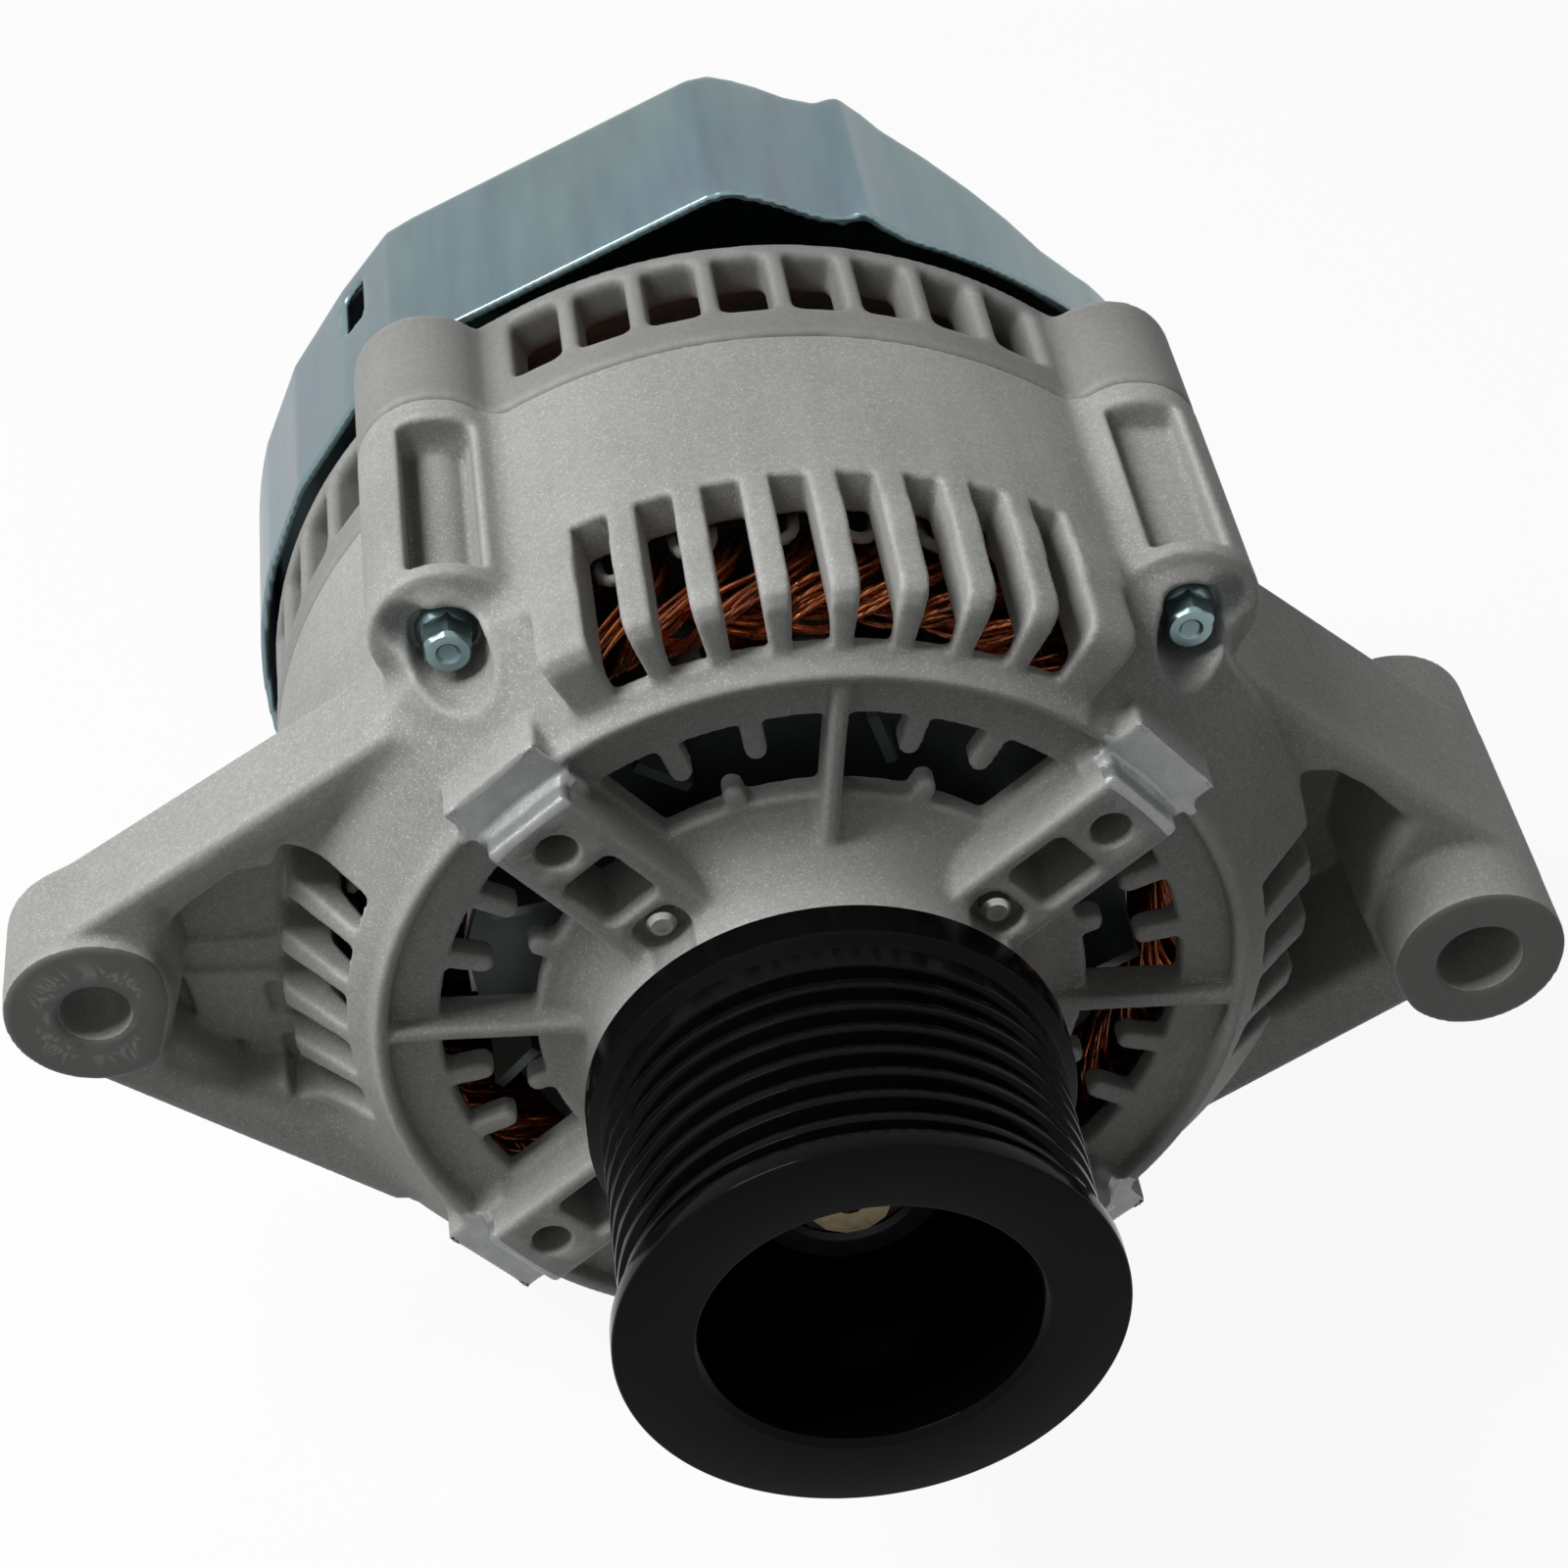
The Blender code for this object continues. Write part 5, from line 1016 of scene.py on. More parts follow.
@dataclass
class DriveEndBracket:
    """The vented front casting with its hood, comb openings, arms, bolt bosses and two ears."""

    finishes: Finishes
    end: float = 104.9
    rim_face: float = 50.6
    rim_radius: float = 52.66
    rim_width: float = 2.5
    floor: float = 53.5
    hub_face: float = 41.0
    liner_radius: float = CORE_SEAT - 2.0
    arm_angles: tuple[float, ...] = (45.0, 135.0, 225.0, 315.0)
    ear_root: Point = (52.0, 39.5)
    grid: float = 0.5
    faces: int = 188_000

    def make(self) -> None:
        """Casts, machines and dresses the bracket."""
        casting = Casting((-101.0, 38.5, -70.0), (100.0, 109.0, 70.0), self.grid)
        self.add_ears(casting)
        casting.add(self.body(), fillet=2.0)
        casting.add(self.hood(), fillet=1.2)
        self.add_bosses(casting)
        casting.cut(self.cavity(), self.hood_cavity())
        self.add_arms(casting)
        casting.soften(1)
        self.cut_arms(casting)
        self.cut_combs(casting)
        self.cut_vents(casting)
        self.machine(casting)
        bracket = cast_object("drive_end_casting", casting, self.faces)
        self.finishes.place(bracket, "cast", Body.HOUSING, "drive_end_bracket")

    def body(self) -> Turned:
        """Hub, floor, rim, cone and barrel, turned about the shaft."""
        rim, face = self.rim_radius, self.rim_face
        hub = [(0.0, self.hub_face), (26.6, self.hub_face), (27.2, 41.6), (27.2, 47.6), (27.6, 49.8),
               (28.7, 51.6), (30.4, 52.9), (32.6, self.floor)]
        edge = [(rim, self.floor), (rim, face + 0.5), (rim + 0.6, face), (rim + self.rim_width * 0.7, face),
                (rim + self.rim_width, 53.0)]
        return Turned(hub + edge + [(BODY_RADIUS, 64.5), (BODY_RADIUS, self.end), (0.0, self.end)])

    def cavity(self) -> Turned:
        """Room for the bearing, fan, windings and core."""
        bearing = [(0.0, 40.0), (14.0, 40.0), (14.0, 43.7), (23.8, 43.7), (23.8, 58.0), (33.5, 58.0)]
        fan = [(33.5, 57.0), (self.rim_radius + self.rim_width, 57.0), (self.liner_radius, 63.5)]
        core = [(self.liner_radius, 79.7), (CORE_SEAT, 79.7), (CORE_SEAT, 106.0), (0.0, 106.0)]
        return Turned(bearing + fan + core)

    def hood(self) -> Turned:
        """Upper sector that runs forward to carry the long vents."""
        r, face, inner = BODY_RADIUS, self.rim_face + 2.2, 54.0
        front = [(inner, self.rim_face), (56.2, face), (r - 2.7, face), (r - 0.8, face + 0.8)]
        return Turned([*front, (r, face + 2.8), (r, 70.0), (inner, 70.0)], middle=90.0, half=32.5)

    def hood_cavity(self) -> Turned:
        """Hollow under the hood."""
        inner, outer, front, back = 55.16, self.liner_radius, self.rim_face + 4.4, 69.0
        profile = [(inner, front), (outer, front), (outer, back), (inner, back)]
        return Turned(profile, middle=90.0, half=29.5)

    def plate(self, ear: Ear) -> Extruded:
        """Straight flanks from the body to an ear's round boss."""
        sign, radius = (1.0 if ear.x > 0 else -1.0), ear.radius - 0.2
        across, above = self.ear_root
        ends = []
        for tip in (1.0, -1.0):
            away = Vector((ear.x - sign * across, ear.z - tip * above))
            ends.append(atan2(away.y, away.x * sign) + tip * asin(radius / away.length) + tip * pi / 2)
        outline = [(0.0, 24.0), (sign * across, above)]
        for angle in (ends[0] + (ends[1] - ends[0]) * k / 16 for k in range(17)):
            outline.append((ear.x + sign * radius * cos(angle), ear.z + radius * sin(angle)))
        return Extruded(outline + [(sign * across, -above), (0.0, -24.0)], *ear.plate, 1.2)

    def add_ears(self, casting: Casting) -> None:
        """Both ears with their webs, pockets and ribs."""
        ear = LEFT_EAR
        casting.add(self.plate(ear))
        casting.add(disc(ear.x, ear.z, ear.radius, *ear.boss), fillet=0.6)
        web = [(-79.0, 12.5), (-50.0, 33.0), (-48.0, -31.0), (-79.5, -13.0), (-77.4, 0.0)]
        casting.cut(Extruded(web, 50.0, 63.0, 1.0), fillet=3.5)
        pocket = [(-78.6, 8.5), (-75.5, 12.0), (-70.0, 16.5), (-65.5, 17.2), (-58.0, 13.5), (-52.0, 10.0),
                  (-52.0, -13.5), (-60.0, -16.5), (-67.1, -18.8), (-71.0, -18.0), (-79.5, -10.0),
                  (-77.4, 0.0)]
        bottom = 71.5
        casting.cut(Extruded(pocket, 50.0, bottom), fillet=2.5)
        for low, high, lift in ((-19.0, -4.6, 2.4), (-19.0, -0.2, 1.2)):
            step = [(-78.0, high), (-55.0, high), (-55.0, -15.5), (-67.0, low), (-76.0, -14.0)]
            casting.add(Extruded(step, bottom - lift, bottom + 1.5, 0.4), fillet=0.8)
        ear = RIGHT_EAR
        casting.add(self.plate(ear))
        casting.add(disc(ear.x, ear.z, ear.radius, *ear.boss), fillet=0.6)
        pocket = [(56.0, 21.0), (62.0, 23.0), (66.5, 22.8), (71.0, 20.0), (77.0, 14.5), (74.5, 6.0),
                  (74.0, -2.0), (77.5, -9.0), (63.0, -19.5), (55.0, -24.5)]
        casting.cut(Extruded(pocket, 55.0, 87.0), fillet=2.5)

    def add_bosses(self, casting: Casting) -> None:
        """Four bolt bosses; the upper ones have a scooped top, a lip at the joint and an open pocket."""
        for x, z in BOLTS:
            front, side = (65.5 if z > 0 else 73.5), (1.0 if x > 0 else -1.0)
            casting.add(disc(x, z, 9.4, front + 3.0, self.end), fillet=2.5)
            casting.add(Rod((x, front + 5.0, z), (x * 0.93, front + 1.0, z * 0.93), 6.5), fillet=3.5)
            if z < 0:
                continue
            channel = block_between((x - 4.3, 71.0, z + 4.6), (x + 4.3, 100.6, z + 12.0), 0.6)
            casting.cut(channel, fillet=1.0)
            if x < 0:
                deeper = block_between((x - 4.0, 72.0, z + 1.6), (x + 3.9, 100.8, z + 8.0), 0.8)
                casting.cut(deeper, fillet=1.0)
                casting.add(Rod((x + 0.2, 72.0, z), (x + 0.2, 99.5, z), 3.8), fillet=0.8)
            casting.cut(Rod((x, 60.0, z + 0.4), (x, front, z + 0.4), 5.0), fillet=0.8)
            scoop = Rod((x + side * 5.0, 62.0, z + 3.0), (x + side * 4.6, front + 1.0, z + 2.2), 3.2)
            casting.cut(scoop, fillet=1.0)

    def add_arms(self, casting: Casting) -> None:
        """Four arms that end in a raised land, and four thin ribs."""
        inner, back = 26.0, 56.7
        for angle in self.arm_angles:
            casting.add(bar(angle, inner, 51.8, 6.3, 46.5, back, 0.4), fillet=0.8)
            casting.add(bar(angle, 47.5, 57.6, 7.4, 50.1, back, 0.4), fillet=0.5)
        for angle in QUARTERS:
            casting.add(bar(angle, inner, 52.4, 1.15, 50.9, back, 0.6), fillet=0.8)

    def cut_arms(self, casting: Casting) -> None:
        """A window, a recess for a screw's end and a hole in each arm."""
        for angle in self.arm_angles:
            casting.cut(eased(bar(angle, 33.0, 41.7, 3.9, 44.0, 60.0), 1.2), fillet=0.4)
            casting.cut(eased(bar(angle, 25.7, 31.2, 3.5, 38.0, 49.4), 2.2), fillet=0.4)
            casting.cut(disc(*polar(angle, 46.3), 2.5, 44.0, 55.0), fillet=0.3)

    @staticmethod
    def comb_outline(side: float, turn: float) -> list[Point]:
        """One opening between an arm and a rib, with fingers from the rim and a stub from the hub.

        Args:
            side: 1 or -1, for the opening on either side of the rib.
            turn: the rib's direction in degrees.
        Returns:
            The outline.
        """
        outer, inner, tip, stub, half = 46.3, 34.4, 40.6, 37.4, 1.35

        def point(angle: float, radius: float, across: float = 0.0) -> Point:
            """A point by its angle from the rib, with an offset to one side."""
            return radius * sin(angle) + across * cos(angle), radius * cos(angle) - across * sin(angle)

        def finger(middle: float, base: float, end: float) -> list[Point]:
            """A finger with a round end."""
            away = 1.0 if end > base else -1.0
            root = sqrt(base * base - half * half)
            arch = [point(middle, end - away * half + away * half * sin(pi * k / 6), -half * cos(pi * k / 6))
                    for k in range(7)]
            return [point(middle, root, -half), *arch, point(middle, root, half)]

        def limits(radius: float) -> Point:
            """Angles where a rib and an arm bound the opening."""
            return asin(1.2 / radius), pi / 4 - asin(6.9 / radius)

        def arc(start: float, stop: float, radius: float) -> list[Point]:
            """Points along an arc."""
            return [point(start + (stop - start) * k / 5, radius) for k in range(6)]

        edge, high = limits(outer)
        outline: list[Point] = []
        for middle in (radians(12.5), radians(25.0)):
            share = asin(half / outer)
            outline += arc(edge, middle - share, outer)[:-1] + finger(middle, outer, tip)
            edge = middle + share
        outline += arc(edge, high, outer)[1:]
        low, high = limits(inner)
        middle, share = radians(18.5), asin(half / inner)
        outline += arc(high, middle + share, inner)[:-1] + finger(middle, inner, stub)[::-1]
        outline += arc(middle - share, low, inner)[1:]
        c, s = cos(radians(turn)), sin(radians(turn))
        return [(side * x * c - z * s, side * x * s + z * c) for x, z in outline]

    def cut_combs(self, casting: Casting) -> None:
        """Eight comb openings through the floor."""
        for side, turn in itertools.product((1.0, -1.0), QUARTERS):
            casting.cut(Extruded(rounded(self.comb_outline(side, turn), 0.9, 2), 49.0, 60.0), fillet=0.5)

    def cut_vents(self, casting: Casting) -> None:
        """Slots over the hood, under the body and at both ears."""
        long_slot, ear_slot = (2.2, 40.0, 75.5), (2.7, 56.2, 70.0)
        rows = ((90.0, 7.1, 8, 56.5, long_slot), (270.0, 7.1, 8, 58.8, long_slot),
                (180.0, 8.0, 5, 55.6, ear_slot), (0.0, 8.0, 4, 55.6, ear_slot))
        for middle, pitch, count, inner, slot in rows:
            for angle in spread(middle, pitch, count):
                casting.cut(eased(bar(angle, inner, 68.0, *slot, 0.6), 0.8), fillet=0.7)

    def machine(self, casting: Casting) -> None:
        """Crisp faces and bores that were cut after casting."""
        for ear in (LEFT_EAR, RIGHT_EAR):
            (front, back), over = ear.boss, ear.radius + 2.0
            casting.cut(disc(ear.x, ear.z, over, front - 6.0, front))
            casting.cut(disc(ear.x, ear.z, over, back, back + 2.5))
            hole = [(0.0, front - 2.0), (ear.bore + ear.chamfer + 2.0, front - 2.0),
                    (ear.bore, front + ear.chamfer), (ear.bore, 110.0), (0.0, 110.0)]
            casting.cut(Turned(hole, ear.x, ear.z))
        pads = [(50.4, 44.0), (52.4, 44.0), (52.4, 50.6), (57.5, 50.6), (57.5, 48.0), (62.0, 48.0),
                (62.0, 40.0), (50.4, 40.0)]
        for angle in self.arm_angles:
            casting.cut(Turned(pads, middle=angle, half=9.5))
        for x, z in BOLTS:
            front, seat = (60.0, 70.5) if z > 0 else (72.0, 79.0)
            casting.cut(disc(x, z, 4.6, front, seat), disc(x, z, 2.6, seat - 0.5, 106.0))


@dataclass
class RearBracket:
    """The rear casting with its ring of tall windows, four bosses and the bearing hub."""

    finishes: Finishes
    front: float = 105.2
    grid: float = 0.6
    faces: int = 110_000

    def make(self) -> None:
        """Casts and dresses the bracket."""
        casting = Casting((-68.0, 104.0, -68.0), (68.0, 146.0, 68.0), self.grid)
        r, seat, face, hub = BODY_RADIUS, CORE_SEAT, 135.5, 21.5
        casting.add(Turned([(0.0, self.front), (r, self.front), (r, 126.5), (62.5, 128.0), (56.0, face),
                            (hub, face), (hub, 144.2), (0.0, 144.2)]))
        for x, z in BOLTS:
            casting.add(disc(x, z, 9.4, self.front, 124.5), fillet=2.0)
        barrel = [(0.0, 104.0), (seat, 104.0), (seat, 112.3), (seat - 2.0, 112.3), (seat - 2.0, 126.0)]
        bearing = [(52.0, 131.5), (17.8, 131.5), (17.8, 143.1), (13.6, 143.1), (13.6, 146.0), (0.0, 146.0)]
        casting.cut(Turned(barrel + bearing))
        for middle, count in ((90.0, 8), (270.0, 8), (0.0, 9), (180.0, 9)):
            for angle in spread(middle, 8.1, count):
                casting.cut(bar(angle, 56.0, 70.0, 3.25, 111.5, 124.0, 0.5), fillet=0.7)
        for k in range(10):
            casting.cut(bar(36.0 * k, 27.0, 42.0, 3.0, 130.0, 137.0, 0.5), fillet=0.5)
        casting.soften(2)
        casting.cut(disc(0.0, 0.0, 80.0, 100.0, self.front))
        bracket = cast_object("rear_casting", casting, self.faces)
        self.finishes.place(bracket, "rear_cast", Body.HOUSING, "rear_bracket")


@dataclass
class RearCover:
    """The zinc-plated sheet cover with a folded corner, a raised lug and a sloping facet."""

    finishes: Finishes
    radius: float = 67.5
    foot: Point = (11.5, -66.5)
    front: float = 128.0
    back: float = 160.0
    sheet: float = 1.2
    corner: float = 2.6
    grid: float = 0.55
    faces: int = 90_000
    upper: tuple[Point, ...] = (
        (-61.5, 27.8), (-54.6, 39.9), (-48.4, 48.9), (-44.9, 51.2), (-8.2, 71.5), (-5.2, 72.2), (-1.8, 71.5),
        (1.6, 70.4), (5.5, 68.8), (9.5, 67.9), (11.6, 68.6), (12.8, 68.6), (14.6, 67.2), (18.4, 64.9),
        (24.0, 62.9), (30.0, 60.2), (34.7, 57.6), (40.1, 53.9), (44.3, 50.6))

    def outline(self) -> list[Point]:
        """Lug and fold at the top, then clockwise round the shell with its flat foot."""
        right = [polar(47.3 - 3.0 * k, self.radius) for k in range(43)]
        left = [polar(-103.0 - 3.0 * k, self.radius) for k in range(31)]
        x, z = self.foot
        return [*self.upper, *right, (x, z), (-x, z), *left]

    def make(self) -> None:
        """Forms, pierces and dresses the cover."""
        solid = Casting((-70.0, 126.5, -69.0), (70.0, 161.5, 74.0), self.grid)
        solid.add(Extruded(self.outline(), self.front - 8.0, self.back, self.corner))
        solid.cut(SlopedCut((15.0, 160.0), (39.5, 142.0), 10.0), fillet=2.0)
        solid.values = np.maximum(solid.values, -(solid.values + np.float32(self.sheet)))
        solid.cut(block_between((-80.0, 110.0, -80.0), (80.0, self.front, 80.0)))
        solid.cut(*self.holes())
        cover = cast_object("plated_cover", solid, self.faces)
        self.finishes.place(cover, "zinc", Body.HOUSING, "rear_cover")

    @staticmethod
    def holes() -> list[Shape]:
        """The slot in the left wall and the openings of the back."""
        through = (156.0, 163.0)
        vents = [bar(angle, 27.0, 44.0, 2.2, *through) for angle in spread(213.0, 14.0, 7)]
        studs = [disc(*polar(angle, 51.2), 2.8, 136.0, through[1]) for angle in (30.0, 150.0, 270.0)]
        terminal = disc(*polar(143.0, 38.0), 6.1, *through)
        socket = block_between((30.9, through[0], -21.6), (45.1, through[1], 1.6))
        return [bar(141.6, 60.0, 74.0, 2.1, 146.0, 155.0, 1.0), *vents, *studs, terminal, socket]


# ---------------------------------------------------------------- turned and wound pieces


@dataclass
class Pulley:
    """The eight-groove pulley with its deep recess, and its flanged nut."""

    finishes: Finishes
    length: float = 39.5
    radius: float = 29.7
    grooves: int = 8
    pitch: float = 3.56
    depth: float = 3.1
    drop: float = 1.5
    land: float = 2.56
    recess: float = 19.55
    web: float = 6.0
    nut_flat: float = 12.0
    nut_bore: float = 8.3
    nut_length: float = 11.0

    def profile(self) -> list[Point]:
        """Outline from the front flange round to the recess."""
        crest, flank = self.radius - self.drop, tan(radians(20.0))
        half = self.pitch / 2 - self.depth * flank
        band, back = self.length - 6.0, self.length - self.web
        outer = [(self.radius - 0.2, 0.0), (self.radius, 0.3),
                 (self.radius, self.land + half - self.drop * flank)]
        for k in range(self.grooves):
            start, root = self.land + k * self.pitch, crest - self.depth
            if k:
                outer.append((crest, start + half))
            outer += [(root, start + self.pitch / 2 - 0.25), (root, start + self.pitch / 2 + 0.25)]
            outer.append((crest, start + self.pitch - half))
        outer += [(crest, band), (self.radius, band + 0.75), (self.radius, self.length - 0.6),
                  (self.radius - 0.8, self.length)]
        return outer + [(8.8, self.length), (8.8, back), (self.recess, back), (self.recess, 0.8),
                        (self.recess + 0.8, 0.0)]

    def make(self) -> None:
        """Turns the pulley and its nut."""
        pulley = sharpen(lathe("grooved_pulley", rounded(self.profile(), 0.28, 2), 192), 30.0)
        self.finishes.place(pulley, "paint", Body.ROTOR, "pulley")
        back, bore, flat = self.length - self.web - 0.3, self.nut_bore, self.nut_flat
        front = back - self.nut_length
        rows = [(bore, back), (bore, front + 0.6), (bore + 0.7, front), (flat * 0.97, front),
                (flat * 1.16, front + 1.2), (flat * 1.16, back - 1.2), (flat * 0.97, back)]
        nut = sharpen(hexagon("flanged_nut", rows, flat, 96, ring=True), 25.0)
        self.finishes.place(nut, "dark", Body.ROTOR, "pulley_nut")


def around(radius: Array | float, angle: Array, station: Array) -> Array:
    """A path from its distance, angle and station along the shaft."""
    return np.stack([radius * np.cos(angle), station, radius * np.sin(angle)], axis=1)


@dataclass
class EndWinding:
    """Bent copper wires that stand out of one face of the core, with the paper ends of the slots."""

    finishes: Finishes
    name: str
    node: str
    face: float
    tip: float
    seed: int
    slots: int = 36
    wires: int = 8
    wire: float = 0.43
    steps: int = 18
    bore: float = 47.6
    outer: float = 54.2
    liner: float = 56.4

    def wire_paths(self, out: float) -> list[Array]:
        """Middle lines of the wires, each from one slot to the one three slots on."""
        rng = np.random.default_rng(self.seed)
        reach = abs(self.tip - self.face) - 1.2
        t = np.linspace(0.0, 1.0, self.steps)
        paths = []
        for slot, wire in itertools.product(range(self.slots), range(self.wires)):
            start = 360.0 / self.slots * (slot + 0.35 * (wire / self.wires - 0.5))
            span = 30.0 + rng.normal(0.0, 2.2)
            height = reach * (0.62 + 0.38 * rng.random()) * (1.0 - 0.07 * (wire % 3))
            angle = np.radians(start + span * (t + 0.05 * np.sin(2 * pi * t)))
            lift = height * np.sin(pi * t) ** 0.55
            layer = self.outer - 1.0 * (wire % 3) - 0.4 * rng.random()
            radius = layer - (layer - self.bore) * (1 / (1 + np.exp(-14 * (t - 0.55))))
            wave = 0.35 * np.sin(2 * pi * (t * rng.uniform(1.0, 2.2) + rng.random()))
            paths.append(around(radius, angle, self.face + out * np.clip(lift + wave, 0.0, reach)))
        return paths

    def liner_paths(self, out: float) -> list[Array]:
        """Arched paper ends, one over each slot."""
        turn = np.linspace(0.0, pi, 9)
        side, lift = 2.4 * np.cos(turn), 0.3 + 5.0 * np.sin(turn) ** 0.7
        middles = [2 * pi * (slot + 0.5) / self.slots for slot in range(self.slots)]
        return [around(self.liner, middle + side / self.liner, self.face + out * lift) for middle in middles]

    def make(self) -> None:
        """Bends the wires and folds the papers."""
        out = 1.0 if self.tip > self.face else -1.0
        winding = tubes(self.name, self.wire_paths(out), self.wire)
        self.finishes.place(winding, "wire", Body.HOUSING, self.node)
        liners = tubes(self.name + "_liners", self.liner_paths(out), 0.8, 6)
        self.finishes.place(liners, "liner", Body.HOUSING)


@dataclass
class ThroughBolts:
    """Four hexagon bolts with round collars and a shallow dimple, zinc plated."""

    finishes: Finishes
    flat: float = 2.8
    collar: float = 3.75
    shank: float = 2.5
    tip: float = 122.2

    def make(self) -> None:
        """Makes each bolt in its place."""
        collar, flat = self.collar, self.flat
        for k, (x, z) in enumerate(BOLTS, 1):
            seat = 70.2 if z > 0 else 78.7
            front, back = seat - 5.2, seat - 1.4
            profile = [(0.0, seat - 1.6), (3.0, seat - 1.6), (3.5, seat - 1.0), (collar, seat - 0.5),
                       (collar, seat - 0.15), (collar - 0.2, seat), (self.shank, seat),
                       (self.shank, self.tip - 0.4), (self.shank - 0.5, self.tip), (0.0, self.tip)]
            rows = [(0.0, front + 0.45), (1.1, front + 0.35), (1.5, front), (flat * 0.92, front),
                    (flat * 1.1, front + 0.5), (flat * 1.16, front + 0.9), (flat * 1.16, back)]
            body = lathe("bolt_collar", profile, 40, x, z, closed=False)
            bolt = merged(f"plated_bolt_{k}", [body, hexagon("bolt_head", rows, flat, 48, x, z)])
            self.finishes.place(sharpen(bolt, 35.0), "zinc", Body.HOUSING, f"through_bolt_{k}")


@dataclass
class BrushSprings:
    """A wound spring above each brush."""

    finishes: Finishes
    turns: float = 7.0
    wire: float = 0.28
    foot: float = 0.0283
    solid: float = 0.5

    def make(self) -> None:
        """Winds both springs between the ends of their CAD solids."""
        t = np.linspace(0.0, 1.0, 160)
        turn = 2 * pi * self.turns * t
        for side in ("front", "rear"):
            node = f"{side}_brush_spring"
            low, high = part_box(node)
            middle = [(a + b) * 500.0 for a, b in zip(low, high)]
            radius = min(high[0] - low[0], high[1] - low[1]) * 500.0 - self.wire
            bottom, top = low[2] * 1000.0 + self.wire, high[2] * 1000.0 - self.wire
            path = np.stack([middle[0] + radius * np.cos(turn), middle[1] + LENGTH + radius * np.sin(turn),
                             bottom + (top - bottom) * t], axis=1)
            spring = tubes(f"{side}_wound_spring", [path], self.wire, 8)
            self.finishes.place(spring, "steel", Body.HOUSING, node)
            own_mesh(spring)


@dataclass
class RetainerScrews:
    """Screws from the inside whose ends show in the recesses of the arms."""

    finishes: Finishes
    tip: float = 46.9
    shank: float = 1.9
    head: float = 2.0

    def make(self) -> None:
        """Turns each screw in the place of its CAD solid."""
        for k in range(1, 5):
            node = f"retainer_screw_{k}"
            low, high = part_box(node)
            x, z = (low[0] + high[0]) * 500.0, (low[2] + high[2]) * 500.0
            back, wide = high[1] * 1000.0 + LENGTH, (high[0] - low[0]) * 500.0
            under = back - self.head
            profile = [(0.0, self.tip + 0.3), (0.7, self.tip), (1.3, self.tip), (self.shank, self.tip + 0.6),
                       (self.shank, under), (wide, under), (wide, back - 0.4), (wide - 0.4, back),
                       (0.0, back)]
            screw = sharpen(lathe(f"screw_end_{k}", profile, 32, x, z, closed=False), 35.0)
            self.finishes.place(screw, "steel", Body.HOUSING, node)


@dataclass
class KeptNodes:
    """CAD solids whose shape stands as it is, with their own finishes."""

    finishes: Finishes
    looks: dict[str, tuple[str, ...]] = field(default_factory=lambda: {
        "core": ("stator_core",),
        "steel": ("pulley_spacer", "claw_pole_front", "claw_pole_rear", "output_terminal",
                  "front_bearing_inner_ring", "front_bearing_outer_ring", "rear_bearing_inner_ring",
                  "rear_bearing_outer_ring", *(f"cover_stud_{k}" for k in range(1, 4))),
        "fan": ("front_fan", "rear_fan"),
        "tip": ("rotor_shaft",),
        "zinc": ("terminal_nut", *(f"cover_nut_{k}" for k in range(1, 4))),
        "wire": ("field_coil", "front_slip_ring", "rear_slip_ring"),
        "plastic": ("slip_ring_sleeve", "brush_holder", "voltage_regulator", "terminal_bush",
                    *(f"heat_sink_spacer_{k}" for k in range(1, 4))),
        "carbon": ("front_brush", "rear_brush"),
        "sheet": ("negative_heat_sink", "positive_heat_sink"),
        "dark": ("bearing_retainer", *(f"negative_diode_{k}" for k in range(1, 4)),
                 *(f"positive_diode_{k}" for k in range(1, 4))),
    })

    def make(self) -> None:
        """Gives each kept node its finish."""
        for label, nodes in self.looks.items():
            for node in nodes:
                self.finishes.redress(node, label)
            LOG.info("%s on %d kept nodes", label, len(nodes))


# ---------------------------------------------------------------- studio


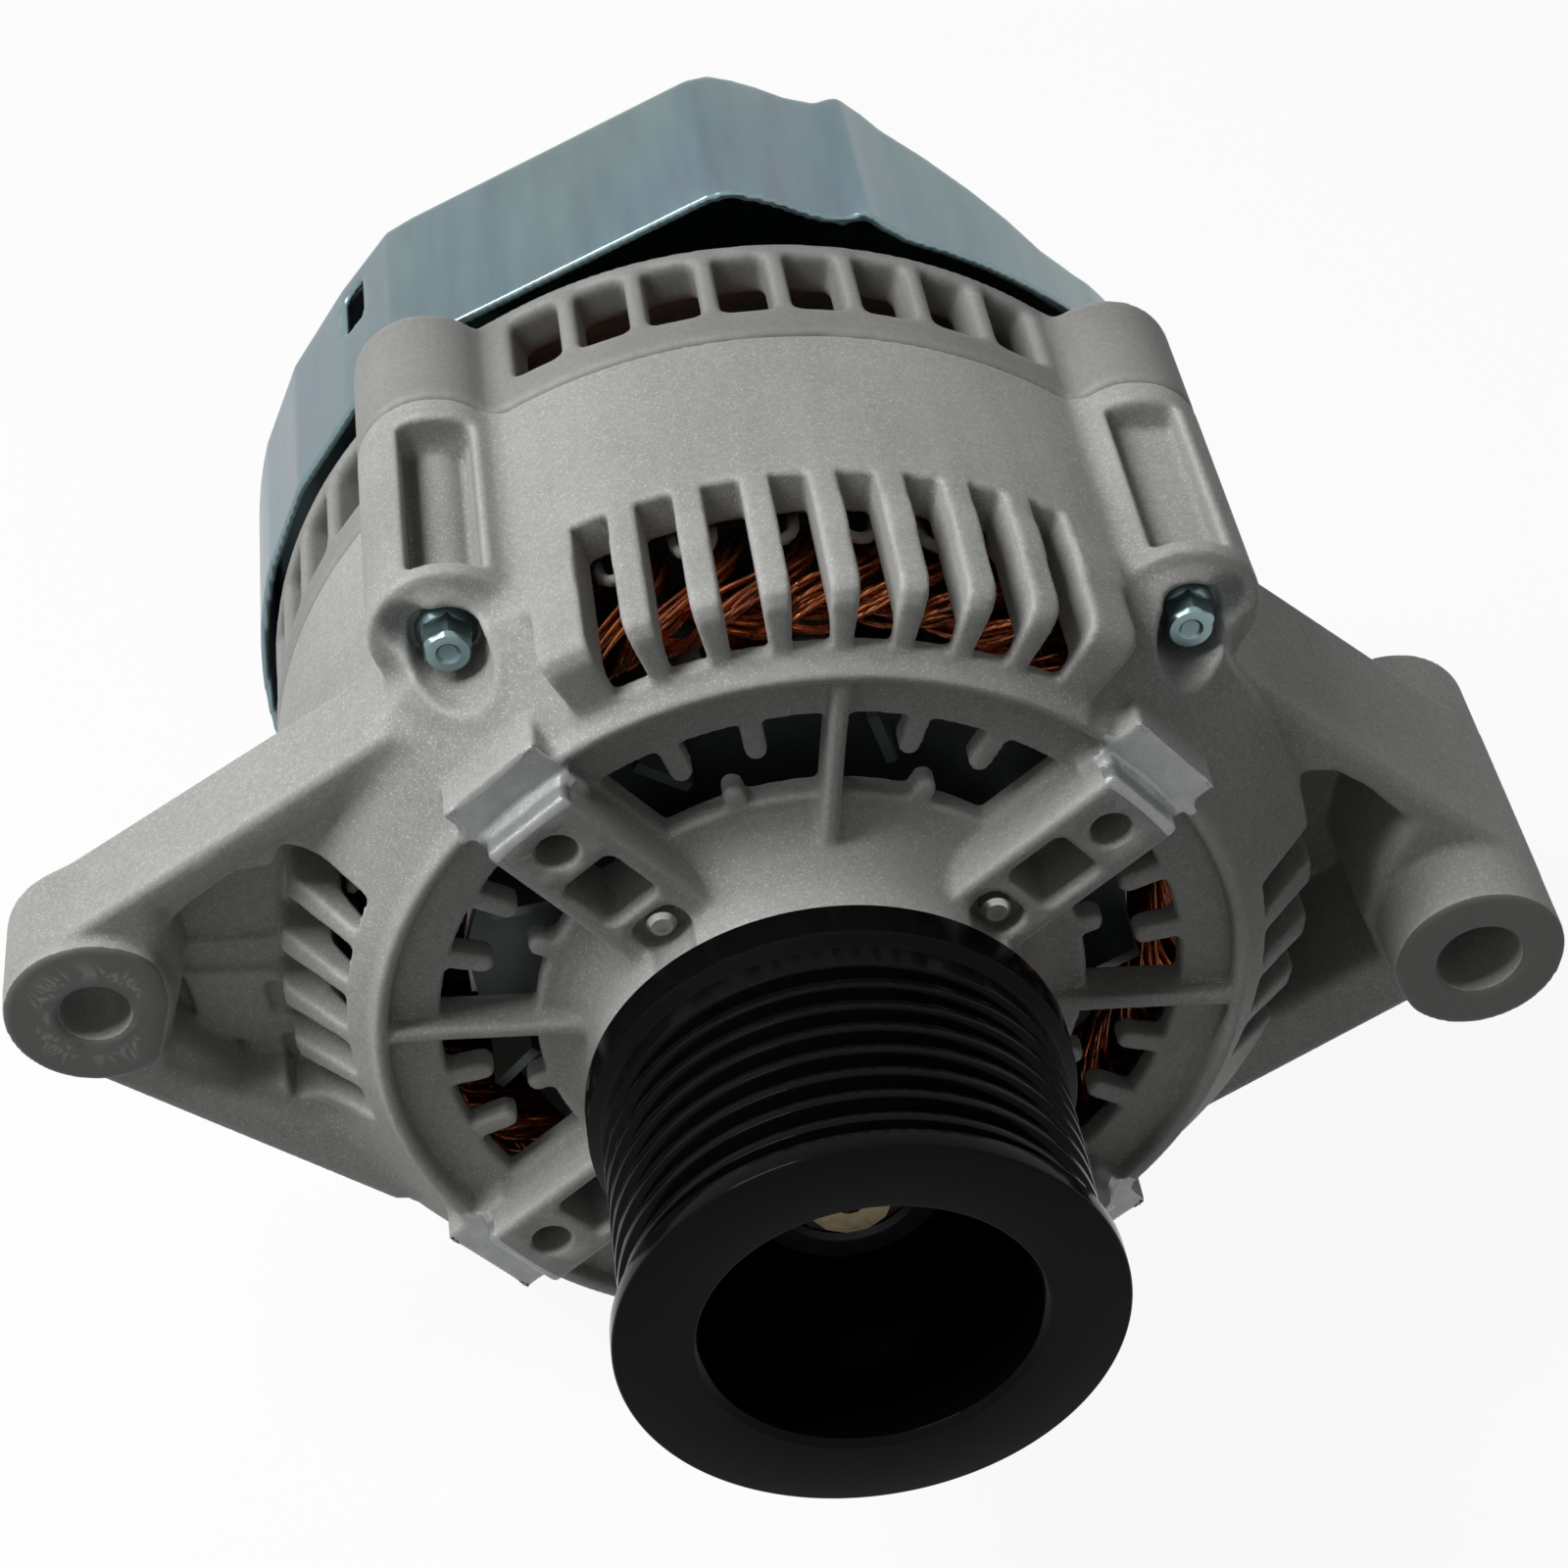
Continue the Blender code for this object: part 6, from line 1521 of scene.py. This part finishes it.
@dataclass
class Studio:
    """Pale floor, soft lights and the camera, which was solved from the photograph in millimetres."""

    azimuth: float = -0.163170233
    elevation: float = 0.692010731
    roll: float = 0.0666345477
    distance: float = 396.006477
    across: float = -10.1364650
    above: float = 61.6837037
    focal: float = 3584.04381
    image: float = 1600.0
    level: float = -0.0672
    reach: float = 4.0

    @staticmethod
    def linked(name: str, data: bpy.types.ID) -> Object:
        """A new object in the scene."""
        obj = bpy.data.objects.new(name, data)
        bpy.context.scene.collection.objects.link(obj)
        return obj

    def camera(self) -> None:
        """Places the camera."""
        az, el = self.azimuth, self.elevation
        back = Vector((sin(az) * cos(el), -cos(az) * cos(el), sin(el)))
        right = Vector((cos(az), sin(az), 0.0))
        up = back.cross(right)
        c, s = cos(self.roll), sin(self.roll)
        right, up = c * right + s * up, -s * right + c * up
        place = back * self.distance + right * self.across + up * self.above
        data = bpy.data.cameras.new("photo_camera")
        data.sensor_width = 36.0
        data.lens = self.focal * data.sensor_width / self.image
        data.clip_start = 0.01
        obj = self.linked("photo_camera", data)
        turn = Matrix((right, up, back)).transposed().to_4x4()
        obj.matrix_world = Matrix.Translation(Vector((place.x, place.y - LENGTH, place.z)) / 1000) @ turn
        bpy.context.scene.camera = obj

    def floor(self) -> None:
        """A wide floor that keeps the object's shadow but shows white."""
        mesh = bpy.data.meshes.new("floor")
        sides = ((-1, -1), (1, -1), (1, 1), (-1, 1))
        corners = [(x * self.reach, y * self.reach, self.level) for x, y in sides]
        mesh.from_pydata(corners, [], [(0, 1, 2, 3)])
        obj = self.linked("floor", mesh)
        material = bpy.data.materials.new("floor_white")
        material.use_nodes = True
        n, nodes = Nodes(material.node_tree), material.node_tree.nodes
        shader, glow, mixer, seen = nodes["Principled BSDF"], n.add("Emission"), n.add("MixShader"), n.seen()
        tone = n.mix(seen, (0.22, 0.22, 0.22), (0.86, 0.86, 0.86))
        n.feed_all(shader, {"Roughness": 0.9, "Base Color": tone})
        n.feed(glow.inputs["Strength"], 1.0)
        for socket, value in zip(mixer.inputs, (n.times(seen, 0.93), shader.outputs[0], glow.outputs[0])):
            n.feed(socket, value)
        n.feed(nodes["Material Output"].inputs[0], mixer.outputs[0])
        mesh.materials.append(material)

    @staticmethod
    def world() -> None:
        """White to the eye and to reflections, a low even fill to everything else."""
        world = bpy.data.worlds.new("studio")
        bpy.context.scene.world = world
        world.use_nodes = True
        n = Nodes(world.node_tree)
        n.feed_all(world.node_tree.nodes["Background"], {"Color": (1.0, 1.0, 1.0),
                                                         "Strength": n.plus(0.05, n.times(n.seen(), 0.95))})

    def lamp(self, name: str, place: Place, target: Place, size: float, watts: float) -> None:
        """A square soft lamp that faces a point."""
        data = bpy.data.lights.new(name, "AREA")
        data.size, data.energy = size, watts
        obj = self.linked(name, data)
        obj.location = place
        obj.rotation_mode = "QUATERNION"
        obj.rotation_quaternion = (Vector(target) - Vector(place)).to_track_quat("-Z", "Y")

    def make(self) -> None:
        """Sets up the whole studio."""
        self.camera()
        self.floor()
        self.world()
        self.lamp("key_above", (-0.69, -0.11, 0.80), (0.0, -0.09, 0.0), 0.5, 10.8)
        self.lamp("fill_front", (-0.5, -0.9, 0.5), (0.0, -0.1, 0.0), 0.8, 0.5)
        bpy.context.scene.view_settings.view_transform = "Standard"


def main() -> None:
    """Builds every sub-assembly and the studio."""
    logging.basicConfig(level=logging.INFO, format="%(name)s %(message)s")
    finishes = Finishes()
    assemblies = [
        DriveEndBracket(finishes), RearBracket(finishes), RearCover(finishes), Pulley(finishes),
        EndWinding(finishes, "front_wires", "front_end_winding", 79.7, 63.2, 7),
        EndWinding(finishes, "rear_wires", "rear_end_winding", 112.3, 125.8, 11),
        ThroughBolts(finishes), BrushSprings(finishes), RetainerScrews(finishes), KeptNodes(finishes),
        Studio(),
    ]
    for assembly in assemblies:
        assembly.make()


if __name__ == "__main__":
    main()
